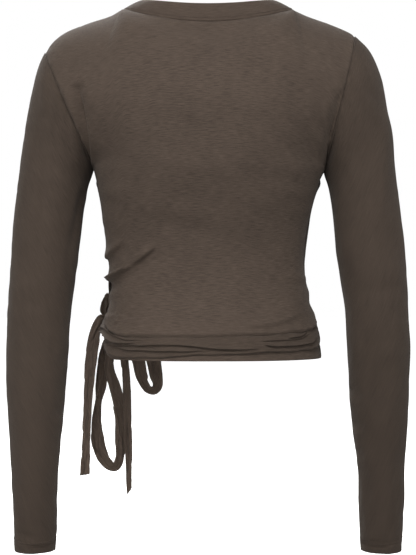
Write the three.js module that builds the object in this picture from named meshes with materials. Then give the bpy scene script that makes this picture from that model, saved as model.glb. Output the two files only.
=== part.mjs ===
// A cropped jersey wrap top with long sleeves, a crossed front and long ties, in the form it has when worn.
// Millimetres, +Z up. The back faces +Y, the front faces -Y, and the wearer's left side is at +X.
// The origin is the middle between the two points where the shoulder seams meet the neckband.
// Every panel is a cloth wall: its outer face is worked out from the sections below, its inner face lies under it.

import * as THREE from 'three';

// Cloth and the clearances between pieces
const CLOTH = 1.4;
const SEAM_GAP = 0.3;
const LAYER = 3.2;           // the over front lies this far outside the under front
const TIE_LIFT = 0.4;        // a tie lies this far off the panel below it
const BAND_WIDTH = 20;
const TIE_WALL = 1.4;

// Heights that the sections share
const HEM_Z = -434;
const UNDERARM_Z = -197;
const SIDE_Y = -4;           // the side seams lie in this plane
const NECK = { x: 107, y: -2, z: -0.5 };
const BACK_NECK = { y: 62, z: -22 };
const FRONT_BASE = { y: -60, z: -46 };
const BAND_SIDE = { x: 84, y: -1, z: 11 };   // upper edge of the neckband over the shoulder
const BAND_BACK = { y: 56, z: -1 };          // upper edge of the neckband at the middle of the back

// Grid of a body panel: the share of its height below the underarm, and its rows and columns
const SIDE_ROWS = 12;
const ARMHOLE_ROWS = 10;
const BODY_ROWS = SIDE_ROWS + ARMHOLE_ROWS;
const SIDE_SHARE = SIDE_ROWS / BODY_ROWS;
const MID_SHARE = (SIDE_ROWS + ARMHOLE_ROWS / 2) / BODY_ROWS;
const COLUMNS = 20;
const NECK_COLUMN = 0.6;     // the neck point's place, from 0 at the middle to 1 at the side seam
const SIDE_TO_MIDDLE = 200;  // length along the cloth from a side seam to the middle
const SQUARENESS = 0.87;     // 1 gives elliptical sections, less gives squarer ones
const MIDDLE_TOP = { back: -100, front: -116 };  // height of the middle column where the upper roll starts
const HEM_GATHER = { start: 0.62, rise: 24 };    // the ties lift the hem from this place to the left side seam
const ROLL = { reach: 1.35, step: 0.01 };        // how far the trunk's rise carries into the roll over the shoulder
const ROLL_MIDDLE = { y: 40, z: 78 };            // slope at the top of a column, at the middle and at the shoulder
const ROLL_SHOULDER = { y: 125, z: 8 };
const SIDE_FADE = 0.12;      // gathers fade out over this share of the way to a side seam

// Sections of the trunk: half width at each side seam, and where the middle of the back and the front lies
const TRUNK = [
  { z: -445, left: 131.0, right: 141.0, back: 97, front: -106 },
  { z: -434, left: 130.5, right: 140.5, back: 97, front: -106 },
  { z: -415, left: 128.0, right: 134.8, back: 94, front: -105 },
  { z: -390, left: 126.0, right: 130.8, back: 88, front: -103 },
  { z: -365, left: 122.8, right: 127.0, back: 81, front: -101 },
  { z: -340, left: 121.8, right: 122.0, back: 76, front: -100 },
  { z: -310, left: 125.6, right: 120.0, back: 74, front: -101 },
  { z: -280, left: 128.3, right: 123.0, back: 78, front: -106 },
  { z: -250, left: 133.0, right: 129.2, back: 87, front: -114 },
  { z: -220, left: 138.2, right: 137.0, back: 96, front: -120 },
  { z: -197, left: 142.0, right: 144.3, back: 102, front: -119 },
  { z: -150, left: 146.0, right: 148.0, back: 106, front: -110 },
  { z: -118, left: 150.0, right: 152.0, back: 105, front: -101 },
  { z: -60, left: 150.0, right: 152.0, back: 90, front: -82 },
];

// Armhole seams: the tip of the shoulder, and how deep the loop is towards the back and the front
const ARMHOLE = {
  left: { tipX: 204, tipZ: -54.5, tipY: -3, backDepth: 66, frontDepth: 54 },
  right: { tipX: 184, tipZ: -33.5, tipY: -3, backDepth: 66, frontDepth: 54 },
};

// Outline of the shoulder from the neck point outwards, with its height at each distance from the middle
const SHOULDER = [
  { x: 107, z: -0.5 },
  { x: 121, z: -7.5 },
  { x: 135, z: -12.5 },
  { x: 149.5, z: -17.5 },
  { x: 174.5, z: -27.5 },
  { x: 189.5, z: -37.5 },
  { x: 198.7, z: -47.5 },
  { x: 205.1, z: -57.5 },
  { x: 212.6, z: -75 },
];

// Sections of the sleeves: outer and inner edge, depth towards the back and front, and the middle's place
const SLEEVE = [
  { z: -33.5, outer: 184.0, inner: 144.0, depth: 60, y: -3 },
  { z: -47.5, outer: 198.7, inner: 144.0, depth: 60, y: -3 },
  { z: -62.5, outer: 207.6, inner: 144.0, depth: 60, y: -3 },
  { z: -87.5, outer: 216.4, inner: 144.0, depth: 58, y: -3 },
  { z: -112.5, outer: 222.1, inner: 144.0, depth: 55, y: -2 },
  { z: -162.5, outer: 230.0, inner: 144.0, depth: 51, y: -1 },
  { z: -200, outer: 234.7, inner: 145.5, depth: 49, y: 0 },
  { z: -225, outer: 237.5, inner: 151.5, depth: 47, y: 1 },
  { z: -250, outer: 239.9, inner: 155.0, depth: 46, y: 2 },
  { z: -300, outer: 244.4, inner: 160.5, depth: 45, y: 4 },
  { z: -350, outer: 248.3, inner: 167.3, depth: 44.5, y: 6 },
  { z: -400, outer: 250.8, inner: 172.2, depth: 44, y: 6 },
  { z: -450, outer: 251.4, inner: 175.3, depth: 42, y: 3 },
  { z: -500, outer: 250.2, inner: 179.2, depth: 39.5, y: -3 },
  { z: -550, outer: 248.6, inner: 185.0, depth: 36, y: -10 },
  { z: -600, outer: 247.2, inner: 190.0, depth: 33.5, y: -17 },
  { z: -650, outer: 245.4, inner: 192.0, depth: 32, y: -24 },
  { z: -680, outer: 243.9, inner: 194.0, depth: 31.5, y: -28 },
];
const CUFF_Z = -679;
const SLEEVE_START = { outerZ: -240, innerZ: -246 };
const SLEEVE_FAN_RINGS = 6;
const SLEEVE_RINGS = 16;

// The wrap edge of each front, from its own neck point down to the opposite side
const WRAP_EDGE = [
  { across: -107, z: -0.5 },
  { across: -60, z: -62 },
  { across: 0, z: -152 },
  { across: 60, z: -245 },
  { across: 105, z: -322 },
  { across: 126, z: -364 },
];
const OVER_END = 0.94;       // where the over front ends, as a share of the way to the far side seam
const UNDER_END = 0.88;
const FRONT_STEP = 0.1;      // distance between the columns of a front
const OVER_RISE = 0.09;      // the over front leaves the side seam and stands out by a layer within this share
const OVER_TOP = { z: -140, fade: 70 };  // it comes down to the under front again above this level
const BAND_CLEAR = 1.7 * SEAM_GAP;       // a neckband starts this far off its seam
const BAND_BLEND = 60;       // a front neckband turns over the shoulder within this distance

// The sash: its upper and lower edge at each turn round the body, 0 at the right side seam and 180 at the left
const SASH = [
  { turn: 2, top: -388, bottom: -411 },
  { turn: 20, top: -398, bottom: -421 },
  { turn: 55, top: -403, bottom: -424 },
  { turn: 90, top: -405, bottom: -427 },
  { turn: 120, top: -406, bottom: -431 },
  { turn: 140, top: -406, bottom: -432 },
  { turn: 155, top: -402, bottom: -429 },
  { turn: 168, top: -393, bottom: -419 },
  { turn: 180, top: -386, bottom: -407 },
  { turn: 200.9, top: -384, bottom: -400 },
];
const SASH_FOLDS = 3;
const SASH_FOLD_HEIGHT = 2.2;
const SASH_WALL = 1.6;
const SASH_STEPS = 34;
const SASH_OVER_FRONT = { turn: 172, span: 12 };  // where the sash passes from the back onto the over front

// Diagonal gathers at the left of the waist, each from its outer end to its inner end, seen from the back
const GATHERS = [
  { x1: 127, z1: -338, x2: 64, z2: -297, height: 4.0, width: 7 },
  { x1: 127, z1: -316, x2: 102, z2: -286, height: 2.6, width: 6 },
];

// The knot lies on the left of the front, just before the side seam
const KNOT = { turn: 206, z: -392, lift: 10.2, thick: 6.6, along: 10, tall: 11.5 };

// Ties. Facing is the direction that a tie's flat side looks in, in degrees from +X towards +Y.
// Rows that lie on the body give their turn round it and their lift off its surface, the others their place.
const TAIL_OUTER = [
  { x: 129.4, y: -49.2, z: -389.5, width: 7, facing: -45 },
  { x: 137, y: -40, z: -388, width: 10, facing: -60 },
  { x: 142, y: -37, z: -400, width: 12, facing: -75 },
  { x: 146.5, y: -36, z: -420, width: 13, facing: -90 },
  { x: 149.5, y: -36, z: -443, width: 13.5, facing: -90 },
  { x: 151, y: -36, z: -467, width: 13.5, facing: -90 },
  { x: 153.4, y: -36, z: -506, width: 13.5, facing: -90 },
  { x: 155.2, y: -36, z: -541, width: 13, facing: -90 },
  { x: 157.3, y: -36, z: -585, width: 12.5, facing: -90 },
];
const TAIL_INNER = [
  { turn: 210.8, z: -399.8, lift: 9, width: 5.5, facing: -45 },
  { turn: 216, z: -418, lift: 8.5, width: 7.5, facing: -55 },
  { x: 108.6, y: -79, z: -437, width: 9.5, facing: -75 },
  { x: 106.6, y: -79, z: -462, width: 9.5, facing: -90 },
  { x: 105.4, y: -79, z: -495, width: 9.5, facing: -90 },
  { x: 104.4, y: -79, z: -533, width: 9, facing: -90 },
  { x: 103.5, y: -79, z: -572, width: 8, facing: -90 },
  { x: 102.2, y: -79, z: -612, width: 7, facing: -90 },
];
const LONG_LOOP = [
  { x: 126.8, y: -54.6, z: -404.2, width: 5.5, facing: -38 },
  { x: 133, y: -66, z: -420, width: 8, facing: -60 },
  { x: 139, y: -82, z: -442, width: 9, facing: -85 },
  { x: 143, y: -87, z: -475, width: 12, facing: -90 },
  { x: 143.6, y: -88, z: -498, width: 9.5, facing: -90 },
  { x: 143.6, y: -88, z: -534, width: 17, facing: -90 },
  { x: 140, y: -88, z: -560, width: 18, facing: -90 },
  { x: 131.5, y: -88, z: -574, width: 14, facing: -90 },
  { x: 121, y: -88, z: -577, width: 11, facing: -90 },
  { x: 114, y: -88, z: -563, width: 12, facing: -90 },
  { x: 114, y: -88, z: -533, width: 12.5, facing: -90 },
  { x: 117.2, y: -88, z: -500, width: 13.5, facing: -90 },
  { x: 123, y: -86, z: -474, width: 12, facing: -90 },
  { x: 127, y: -81, z: -452, width: 11, facing: -85 },
  { x: 125, y: -72, z: -428, width: 8, facing: -65 },
  { x: 122.6, y: -60.8, z: -404.2, width: 5.5, facing: -38 },
];
const FRONT_LOOP = [
  { turn: 212, z: -394, lift: 6.5, width: 6, facing: -50 },
  { turn: 221, z: -410, lift: 6, width: 8, facing: -58 },
  { turn: 227, z: -428, lift: 7, width: 11, facing: -63 },
  { x: 91, y: -91, z: -444, width: 13, facing: -75 },
  { x: 86, y: -95, z: -462, width: 12, facing: -90 },
  { x: 79, y: -99, z: -477, width: 10, facing: -90 },
  { x: 71, y: -101, z: -483, width: 9, facing: -90 },
  { x: 65.6, y: -103, z: -475, width: 10, facing: -90 },
  { x: 67.5, y: -104, z: -461, width: 12, facing: -90 },
  { x: 73, y: -103, z: -444, width: 12, facing: -80 },
  { turn: 238, z: -428, lift: 8, width: 11, facing: -72 },
  { turn: 230, z: -409, lift: 7.5, width: 9, facing: -66 },
  { turn: 211.3, z: -386, lift: 7, width: 6, facing: -50 },
];
const SIDE_LOOP = [
  { x: 125.2, y: -54.6, z: -377.5, width: 8, facing: 28 },
  { x: 130.5, y: -46, z: -376.6, width: 11, facing: 20 },
  { x: 133.7, y: -35, z: -373, width: 12, facing: 30 },
  { x: 132.8, y: -24, z: -364, width: 12, facing: 40 },
  { x: 128, y: -13, z: -356, width: 11, facing: 50 },
];

function lerp(a, b, t) {
  return a + (b - a) * t;
}

function smooth(t) {
  const c = Math.min(1, Math.max(0, t));
  return c * c * (3 - 2 * c);
}

function spanOf(table, key, value) {
  const rising = table[table.length - 1][key] > table[0][key];
  let i = 0;
  while (i < table.length - 2 && (rising ? value > table[i + 1][key] : value < table[i + 1][key])) i += 1;
  return i;
}

// Smooth curve through a column of a table, with the slope at each row taken from its neighbours
function column(table, key, name, value) {
  const i = spanOf(table, key, value);
  const a = table[i];
  const b = table[i + 1];
  const span = b[key] - a[key];
  const t = Math.min(1, Math.max(0, (value - a[key]) / span));
  const before = table[Math.max(0, i - 1)];
  const after = table[Math.min(table.length - 1, i + 2)];
  const slopeA = (b[name] - before[name]) / (b[key] - before[key]);
  const slopeB = (after[name] - a[name]) / (after[key] - a[key]);
  const t2 = t * t;
  const t3 = t2 * t;
  return (2 * t3 - 3 * t2 + 1) * a[name] + (t3 - 2 * t2 + t) * span * slopeA
    + (3 * t2 - 2 * t3) * b[name] + (t3 - t2) * span * slopeB;
}

function hermite(p0, t0, p1, t1, q) {
  const q2 = q * q;
  const q3 = q2 * q;
  return new THREE.Vector3()
    .addScaledVector(p0, 2 * q3 - 3 * q2 + 1)
    .addScaledVector(t0, q3 - 2 * q2 + q)
    .addScaledVector(p1, 3 * q2 - 2 * q3)
    .addScaledVector(t1, q3 - q2);
}

// Shape of the body. A point of it has a face (1 back, -1 front), a place across (-1 right seam to 1 left seam)
// and a height share (0 hem, SIDE_SHARE underarm, 1 shoulder and neck).

function sideOf(across) {
  return across >= 0 ? 'left' : 'right';
}

// The hem is level but for the left side, where the ties gather it up
function hemZ(across) {
  const gathered = Math.max(0, (across - HEM_GATHER.start) / (1 - HEM_GATHER.start));
  return HEM_Z + HEM_GATHER.rise * gathered * gathered;
}

// Armhole seam from the tip of the shoulder (angle 0) to the underarm (angle pi)
function armholePoint(side, face, angle) {
  const a = ARMHOLE[side];
  const sign = side === 'left' ? 1 : -1;
  const underX = column(TRUNK, 'z', side, UNDERARM_Z);
  const rise = (1 + Math.cos(angle)) / 2;
  const depth = face > 0 ? a.backDepth : a.frontDepth;
  return new THREE.Vector3(
    sign * lerp(underX, a.tipX, rise),
    lerp(SIDE_Y, a.tipY, rise) + face * depth * Math.sin(angle),
    lerp(UNDERARM_Z, a.tipZ, rise),
  );
}

function sidePoint(side, face, share) {
  const sign = side === 'left' ? 1 : -1;
  if (share > SIDE_SHARE) {
    return armholePoint(side, face, Math.PI * (1 - (share - SIDE_SHARE) / (1 - SIDE_SHARE)));
  }
  const z = lerp(hemZ(sign), UNDERARM_Z, share / SIDE_SHARE);
  return new THREE.Vector3(sign * column(TRUNK, 'z', side, z), SIDE_Y, z);
}

// One level section through the trunk: an arc of a squarish ellipse that ends on the side point
function sectionPoint(face, across, share) {
  const side = sideOf(across);
  const edge = sidePoint(side, face, share);
  const part = Math.abs(across);
  const middleTop = face > 0 ? MIDDLE_TOP.back : MIDDLE_TOP.front;
  const middleZ = share <= SIDE_SHARE
    ? lerp(HEM_Z, UNDERARM_Z, share / SIDE_SHARE)
    : lerp(UNDERARM_Z, middleTop, (share - SIDE_SHARE) / (MID_SHARE - SIDE_SHARE));
  const hemLift = hemZ(across) - HEM_Z;
  const lift = share <= SIDE_SHARE ? hemLift * (1 - share / SIDE_SHARE) : 0;
  const z = share <= SIDE_SHARE ? middleZ + lift : lerp(middleZ, edge.z, part * part);
  const depth = Math.abs(column(TRUNK, 'z', face > 0 ? 'back' : 'front', z) - SIDE_Y);
  const edgeDepth = Math.max(0, Math.abs(edge.y - SIDE_Y) / depth);
  const endAngle = Math.acos(Math.min(1, edgeDepth ** (1 / SQUARENESS)));
  const angle = part * endAngle;
  const width = share <= SIDE_SHARE ? column(TRUNK, 'z', side, z) : Math.abs(edge.x);
  const x = width * (Math.sin(angle) / Math.sin(endAngle)) ** SQUARENESS;
  const y = SIDE_Y + face * depth * Math.max(0, Math.cos(angle)) ** SQUARENESS;
  return new THREE.Vector3((side === 'left' ? 1 : -1) * x, y, z);
}

// Top edge of a panel: the neck curve in the middle and the shoulder seams beside it
function topPoint(face, across) {
  const side = sideOf(across);
  const sign = side === 'left' ? 1 : -1;
  const part = Math.abs(across);
  if (part >= NECK_COLUMN) {
    const a = ARMHOLE[side];
    const q = (part - NECK_COLUMN) / (1 - NECK_COLUMN);
    const x = lerp(NECK.x, a.tipX, q);
    return new THREE.Vector3(sign * x, lerp(NECK.y, a.tipY, q), column(SHOULDER, 'x', 'z', x));
  }
  const middle = face > 0 ? BACK_NECK : FRONT_BASE;
  const angle = (part / NECK_COLUMN) * Math.PI / 2;
  return new THREE.Vector3(
    sign * NECK.x * Math.sin(angle),
    lerp(NECK.y, middle.y, Math.cos(angle)),
    lerp(NECK.z, middle.z, Math.cos(angle) ** 2),
  );
}

// Above the middle of the armhole each column rises from the trunk and rolls over to the shoulder
function upperPoint(face, across, share) {
  const q = (share - MID_SHARE) / (1 - MID_SHARE);
  const start = sectionPoint(face, across, MID_SHARE);
  const below = sectionPoint(face, across, MID_SHARE - ROLL.step);
  const rise = start.clone().sub(below).multiplyScalar(ROLL.reach * (1 - MID_SHARE) / ROLL.step);
  const over = new THREE.Vector3(0, -face * ROLL_SHOULDER.y, ROLL_SHOULDER.z);
  const up = new THREE.Vector3(0, -face * ROLL_MIDDLE.y, ROLL_MIDDLE.z);
  const end = up.lerp(over, smooth(Math.abs(across) / NECK_COLUMN));
  return hermite(start, rise, topPoint(face, across), end, q);
}

function barePoint(face, across, share) {
  if (share <= MID_SHARE) return sectionPoint(face, across, share);
  const side = sideOf(across);
  const sign = side === 'left' ? 1 : -1;
  const point = upperPoint(face, across, share);
  const miss = sidePoint(side, face, share).sub(upperPoint(face, sign, share));
  return point.addScaledVector(miss, Math.abs(across) ** 3);
}

// How far a gather stands proud of the cloth at a point seen from the back
function gatherHeight(x, z) {
  let sum = 0;
  for (const g of GATHERS) {
    const dx = g.x2 - g.x1;
    const dz = g.z2 - g.z1;
    const length = Math.hypot(dx, dz);
    const along = ((x - g.x1) * dx + (z - g.z1) * dz) / (length * length);
    const off = Math.abs((x - g.x1) * dz - (z - g.z1) * dx) / length;
    const taper = smooth((along + 0.15) / 0.2) * (1 - smooth((along - 0.35) / 0.65));
    sum += g.height * taper * Math.exp(-((off / g.width) ** 2));
  }
  return sum;
}

function normalOf(at, u, v) {
  const e = 1e-3;
  const du = at(u + e, v).sub(at(u - e, v));
  const dv = at(u, v + e).sub(at(u, v - e));
  return du.cross(dv).normalize();
}

// Outward direction of the body's surface, kept one-sided at the seams
function bodyNormal(face, across, share) {
  const u = Math.min(0.998, Math.max(-0.998, across));
  const v = Math.min(0.998, Math.max(0.002, share));
  const n = normalOf((s, t) => barePoint(face, s, t), u, v);
  return n.multiplyScalar(-face);
}

// A point of the body's outer face, moved out by lift
function bodyPoint(face, across, share, lift = 0) {
  const point = barePoint(face, across, share);
  const gathered = face > 0 && share < SIDE_SHARE;
  const gather = gathered ? gatherHeight(point.x, point.z) * smooth((1 - across) / SIDE_FADE) : 0;
  return point.addScaledVector(bodyNormal(face, across, share), lift + gather);
}

// Height share of a level at a place across, below the underarm
function shareAt(across, z) {
  const low = hemZ(across);
  return SIDE_SHARE * (z - low) / (UNDERARM_Z - low);
}

// A point by its turn round the body: 0 right seam, 90 middle of the back, 180 left seam, 270 middle of the front
function turnPoint(turn, z, lift) {
  const face = turn <= 180 ? 1 : -1;
  const across = turn <= 180 ? turn / 90 - 1 : 1 - (turn - 180) / 90;
  return bodyPoint(face, across, Math.max(0, shareAt(across, z)), lift).setZ(z);
}

// Closed wall between an outer and an inner grid of points. A tube's rows close on themselves.
function wall(outer, inner, tube = false) {
  const rows = outer.length;
  const cols = outer[0].length;
  const positions = [];
  for (const grid of [outer, inner]) {
    for (const row of grid) {
      for (const p of row) positions.push(p.x, p.y, p.z);
    }
  }
  const index = [];
  const id = (layer, r, c) => layer * rows * cols + r * cols + (c % cols);
  const gap = (a, b) => Math.hypot(...[0, 1, 2].map((k) => positions[3 * a + k] - positions[3 * b + k]));
  const quad = (a, b, c, d) => {
    if (gap(a, c) <= gap(b, d)) index.push(a, b, c, a, c, d);
    else index.push(a, b, d, b, c, d);
  };
  const spans = tube ? cols : cols - 1;
  for (let r = 0; r < rows - 1; r += 1) {
    for (let c = 0; c < spans; c += 1) {
      quad(id(0, r, c), id(0, r, c + 1), id(0, r + 1, c + 1), id(0, r + 1, c));
      quad(id(1, r, c), id(1, r + 1, c), id(1, r + 1, c + 1), id(1, r, c + 1));
    }
    if (!tube) {
      quad(id(0, r, 0), id(0, r + 1, 0), id(1, r + 1, 0), id(1, r, 0));
      quad(id(0, r, cols - 1), id(1, r, cols - 1), id(1, r + 1, cols - 1), id(0, r + 1, cols - 1));
    }
  }
  for (let c = 0; c < spans; c += 1) {
    quad(id(0, 0, c), id(1, 0, c), id(1, 0, c + 1), id(0, 0, c + 1));
    quad(id(0, rows - 1, c), id(0, rows - 1, c + 1), id(1, rows - 1, c + 1), id(1, rows - 1, c));
  }
  return facingOut(positions, index);
}

// Turns the triangles round if they enclose a negative volume
function facingOut(positions, index) {
  const corner = (i) => new THREE.Vector3().fromArray(positions, 3 * i);
  let volume = 0;
  for (let i = 0; i < index.length; i += 3) {
    const [a, b, c] = [corner(index[i]), corner(index[i + 1]), corner(index[i + 2])];
    volume += a.dot(b.cross(c)) / 6;
  }
  if (volume < 0) {
    for (let i = 0; i < index.length; i += 3) [index[i], index[i + 1]] = [index[i + 1], index[i]];
  }
  const geometry = new THREE.BufferGeometry();
  geometry.setAttribute('position', new THREE.Float32BufferAttribute(positions, 3));
  geometry.setIndex(index);
  geometry.computeVertexNormals();
  return geometry;
}

const garment = new THREE.Group();

function addPiece(name, geometry, color) {
  const material = new THREE.MeshStandardMaterial({ color, roughness: 0.85, metalness: 0 });
  const mesh = new THREE.Mesh(geometry, material);
  mesh.name = name;
  garment.add(mesh);
}

const JERSEY = 0x544a41;
const SHADED_JERSEY = 0x483f38;
const BAND_JERSEY = 0x574d45;
const TIE_JERSEY = 0x50453e;

// Keeps a panel's edge clear of the seam: half the gap at a side seam, the whole gap at an armhole
function offSeam(across, share) {
  const inset = (share >= SIDE_SHARE ? SEAM_GAP : SEAM_GAP / 2) / SIDE_TO_MIDDLE;
  return Math.sign(across) * Math.min(Math.abs(across), 1 - inset);
}

// The back, from side seam to side seam
function backPanel() {
  const outer = [];
  const inner = [];
  for (let r = 0; r <= BODY_ROWS; r += 1) {
    const share = Math.min(r / BODY_ROWS, 1 - SEAM_GAP / 2 / SIDE_TO_MIDDLE);
    const outerRow = [];
    const innerRow = [];
    for (let c = 0; c <= COLUMNS; c += 1) {
      const across = offSeam((2 * c) / COLUMNS - 1, share);
      outerRow.push(bodyPoint(1, across, share));
      innerRow.push(bodyPoint(1, across, share, -CLOTH));
    }
    outer.push(outerRow);
    inner.push(innerRow);
  }
  return wall(outer, inner);
}

// Height share at which a column of a front meets its wrap edge. Own is 1 for the left front, -1 for the right.
function wrapShare(own, across) {
  const toward = -own * across;
  if (toward <= -NECK_COLUMN) return 1;
  const above = (share) => {
    const p = barePoint(-1, across, share);
    return p.z - column(WRAP_EDGE, 'across', 'z', -own * p.x);
  };
  let low = 0;
  let high = 1;
  for (let i = 0; i < 40; i += 1) {
    const middle = (low + high) / 2;
    if (above(middle) > 0) high = middle;
    else low = middle;
  }
  return high;
}

// The over front stands out by a layer where the under front lies below it
function overLift(own, across, z) {
  const clearOfSeam = smooth((1 - own * across) / OVER_RISE);
  return LAYER * clearOfSeam * (1 - smooth((z - OVER_TOP.z) / OVER_TOP.fade));
}

function frontPoint(own, across, share, depth = 0) {
  const z = barePoint(-1, across, share).z;
  const lift = own < 0 ? overLift(own, across, z) : 0;
  return bodyPoint(-1, across, share, lift - depth);
}

// A front reaches from its own side seam past the middle to the far side
function frontColumns(own) {
  const end = own < 0 ? OVER_END : UNDER_END;
  const columns = [];
  for (let i = 0; -1 + (i + 0.3) * FRONT_STEP < end; i += 1) columns.push(-1 + i * FRONT_STEP);
  columns.push(end);
  return columns.map((toward) => -own * toward);
}

function frontPanel(own) {
  const outer = [];
  const inner = [];
  const columns = frontColumns(own);
  for (let r = 0; r <= BODY_ROWS; r += 1) {
    const outerRow = [];
    const innerRow = [];
    for (const c of columns) {
      const share = Math.min(r / BODY_ROWS, 1 - SEAM_GAP / 2 / SIDE_TO_MIDDLE) * wrapShare(own, c);
      const across = offSeam(c, share);
      outerRow.push(frontPoint(own, across, share));
      innerRow.push(frontPoint(own, across, share, CLOTH));
    }
    outer.push(outerRow);
    inner.push(innerRow);
  }
  return wall(outer, inner);
}

// Sleeve: rings that fan out from the armhole seam and then run down the arm
function sleeveRing(side, ring) {
  const a = ARMHOLE[side];
  const sign = side === 'left' ? 1 : -1;
  const fan = Math.min(1, ring / SLEEVE_FAN_RINGS);
  const down = Math.max(0, (ring - SLEEVE_FAN_RINGS) / (SLEEVE_RINGS - SLEEVE_FAN_RINGS));
  const outerZ = lerp(lerp(a.tipZ, SLEEVE_START.outerZ, fan ** 1.5), CUFF_Z, down);
  const innerZ = lerp(lerp(UNDERARM_Z, SLEEVE_START.innerZ, fan ** 2), CUFF_Z, down);
  const underX = column(TRUNK, 'z', side, UNDERARM_Z);
  const tipMiss = a.tipX - column(SLEEVE, 'z', 'outer', a.tipZ);
  const outerX = column(SLEEVE, 'z', 'outer', outerZ) + tipMiss * (1 - fan);
  const innerX = lerp(underX, column(SLEEVE, 'z', 'inner', innerZ), smooth(fan * 1.5));
  const depth = column(SLEEVE, 'z', 'depth', outerZ);
  const y = lerp(a.tipY, column(SLEEVE, 'z', 'y', outerZ), fan);
  const lean = down > 0 ? (column(SLEEVE, 'z', 'y', outerZ) - column(SLEEVE, 'z', 'y', outerZ - 20)) / 20 : 0;
  return { sign, outerX, outerZ, innerX, innerZ, y, depth, fan, lean, armhole: a };
}

function sleevePoint(side, angle, ring) {
  const s = sleeveRing(side, ring);
  const rise = (1 + Math.cos(angle)) / 2;
  const seamDepth = Math.sin(angle) > 0 ? s.armhole.backDepth : s.armhole.frontDepth;
  const depth = lerp(seamDepth, s.depth, smooth(s.fan * 1.4));
  const seamY = lerp(SIDE_Y, s.armhole.tipY, rise);
  const offset = depth * Math.sin(angle);
  return new THREE.Vector3(
    s.sign * lerp(s.innerX, s.outerX, rise),
    lerp(seamY, s.y, smooth(s.fan)) + offset,
    lerp(s.innerZ, s.outerZ, rise) - s.lean * offset,
  );
}

function sleeve(side) {
  const outer = [];
  const inner = [];
  const around = 2 * ARMHOLE_ROWS;
  const sign = side === 'left' ? 1 : -1;
  for (let r = 0; r <= SLEEVE_RINGS; r += 1) {
    const outerRow = [];
    const innerRow = [];
    for (let c = 0; c < around; c += 1) {
      const angle = (2 * Math.PI * c) / around;
      const point = sleevePoint(side, angle, Math.max(r, 0.02));
      const inside = Math.min(SLEEVE_RINGS - 0.01, Math.max(0.15, r));
      const n = normalOf((u, v) => sleevePoint(side, u, v), angle, inside);
      outerRow.push(point);
      innerRow.push(point.clone().addScaledVector(n, sign * CLOTH));
    }
    outer.push(outerRow);
    inner.push(innerRow);
  }
  return wall(outer, inner, true);
}

// A wall whose outer face is a grid of points and whose inner face lies under it, away from the middle of the body
function shell(outer, thickness) {
  const inner = outer.map((row, r) => row.map((point, c) => {
    const along = outer[Math.min(r + 1, outer.length - 1)][c].clone().sub(outer[Math.max(r - 1, 0)][c]);
    const beside = row[Math.min(c + 1, row.length - 1)].clone().sub(row[Math.max(c - 1, 0)]);
    const n = along.cross(beside).normalize();
    const outwards = new THREE.Vector3(point.x, point.y - SIDE_Y, 0);
    return point.clone().addScaledVector(n, n.dot(outwards) > 0 ? -thickness : thickness);
  }));
  return wall(outer, inner);
}

// Neckband round the back neck, standing up from the seam
function backBand() {
  const steps = 12;
  const rows = [0, 0.5, 1].map((up) => {
    const row = [];
    for (let i = 0; i <= steps; i += 1) {
      const across = NECK_COLUMN * ((2 * i) / steps - 1) * 0.996;
      const seam = topPoint(1, across);
      const angle = (Math.abs(across) / NECK_COLUMN) * Math.PI / 2;
      const top = new THREE.Vector3(
        Math.sign(across) * BAND_SIDE.x * Math.sin(angle),
        lerp(BAND_SIDE.y, BAND_BACK.y, Math.cos(angle)),
        lerp(BAND_SIDE.z, BAND_BACK.z, Math.cos(angle) ** 2),
      );
      row.push(seam.clone().lerp(top, lerp(BAND_CLEAR / seam.distanceTo(top), 1, up)));
    }
    return row;
  });
  return shell(rows, CLOTH);
}

// A step along the front's surface, given as a direction and a distance
function stepOnFront(across, share, direction, distance) {
  const e = 1e-3;
  const here = barePoint(-1, across, share);
  const du = barePoint(-1, across + e, share).sub(here).divideScalar(e);
  const dv = barePoint(-1, across, share - e).sub(here).divideScalar(-e);
  const [uu, uv, vv] = [du.dot(du), du.dot(dv), dv.dot(dv)];
  const [bu, bv] = [du.dot(direction) * distance, dv.dot(direction) * distance];
  const det = uu * vv - uv * uv;
  return [across + (bu * vv - bv * uv) / det, share + (bv * uu - bu * uv) / det];
}

// Neckband along a wrap edge, lying on the neck side of it
function wrapBand(own) {
  const columns = frontColumns(own).filter((c) => -own * c > -NECK_COLUMN - 0.01);
  columns[0] *= 0.995;
  const rows = [[], [], []];
  for (const across of columns) {
    const share = wrapShare(own, across);
    const ahead = wrapShare(own, across - own * 0.01);
    const seam = frontPoint(own, across, share);
    const tangent = barePoint(-1, across - own * 0.01, ahead).sub(barePoint(-1, across, share)).normalize();
    const up = bodyNormal(-1, across, share).cross(tangent).normalize();
    if (up.z < 0) up.negate();
    const side = new THREE.Vector3(own * BAND_SIDE.x, BAND_SIDE.y - 2 * SEAM_GAP, BAND_SIDE.z);
    const nearNeck = 1 - smooth(seam.distanceTo(new THREE.Vector3(own * NECK.x, NECK.y, NECK.z)) / BAND_BLEND);
    rows.forEach((row, k) => {
      const distance = lerp(BAND_CLEAR, BAND_WIDTH, k / 2);
      const [u, v] = stepOnFront(across, Math.min(share, 0.97), up, distance);
      const onBody = share > 0.97
        ? seam.clone().addScaledVector(up, distance)
        : frontPoint(own, u, v);
      const toSide = seam.clone().lerp(side, distance / BAND_WIDTH);
      row.push(onBody.lerp(toSide, nearNeck));
    });
  }
  return shell(rows, CLOTH);
}

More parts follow.
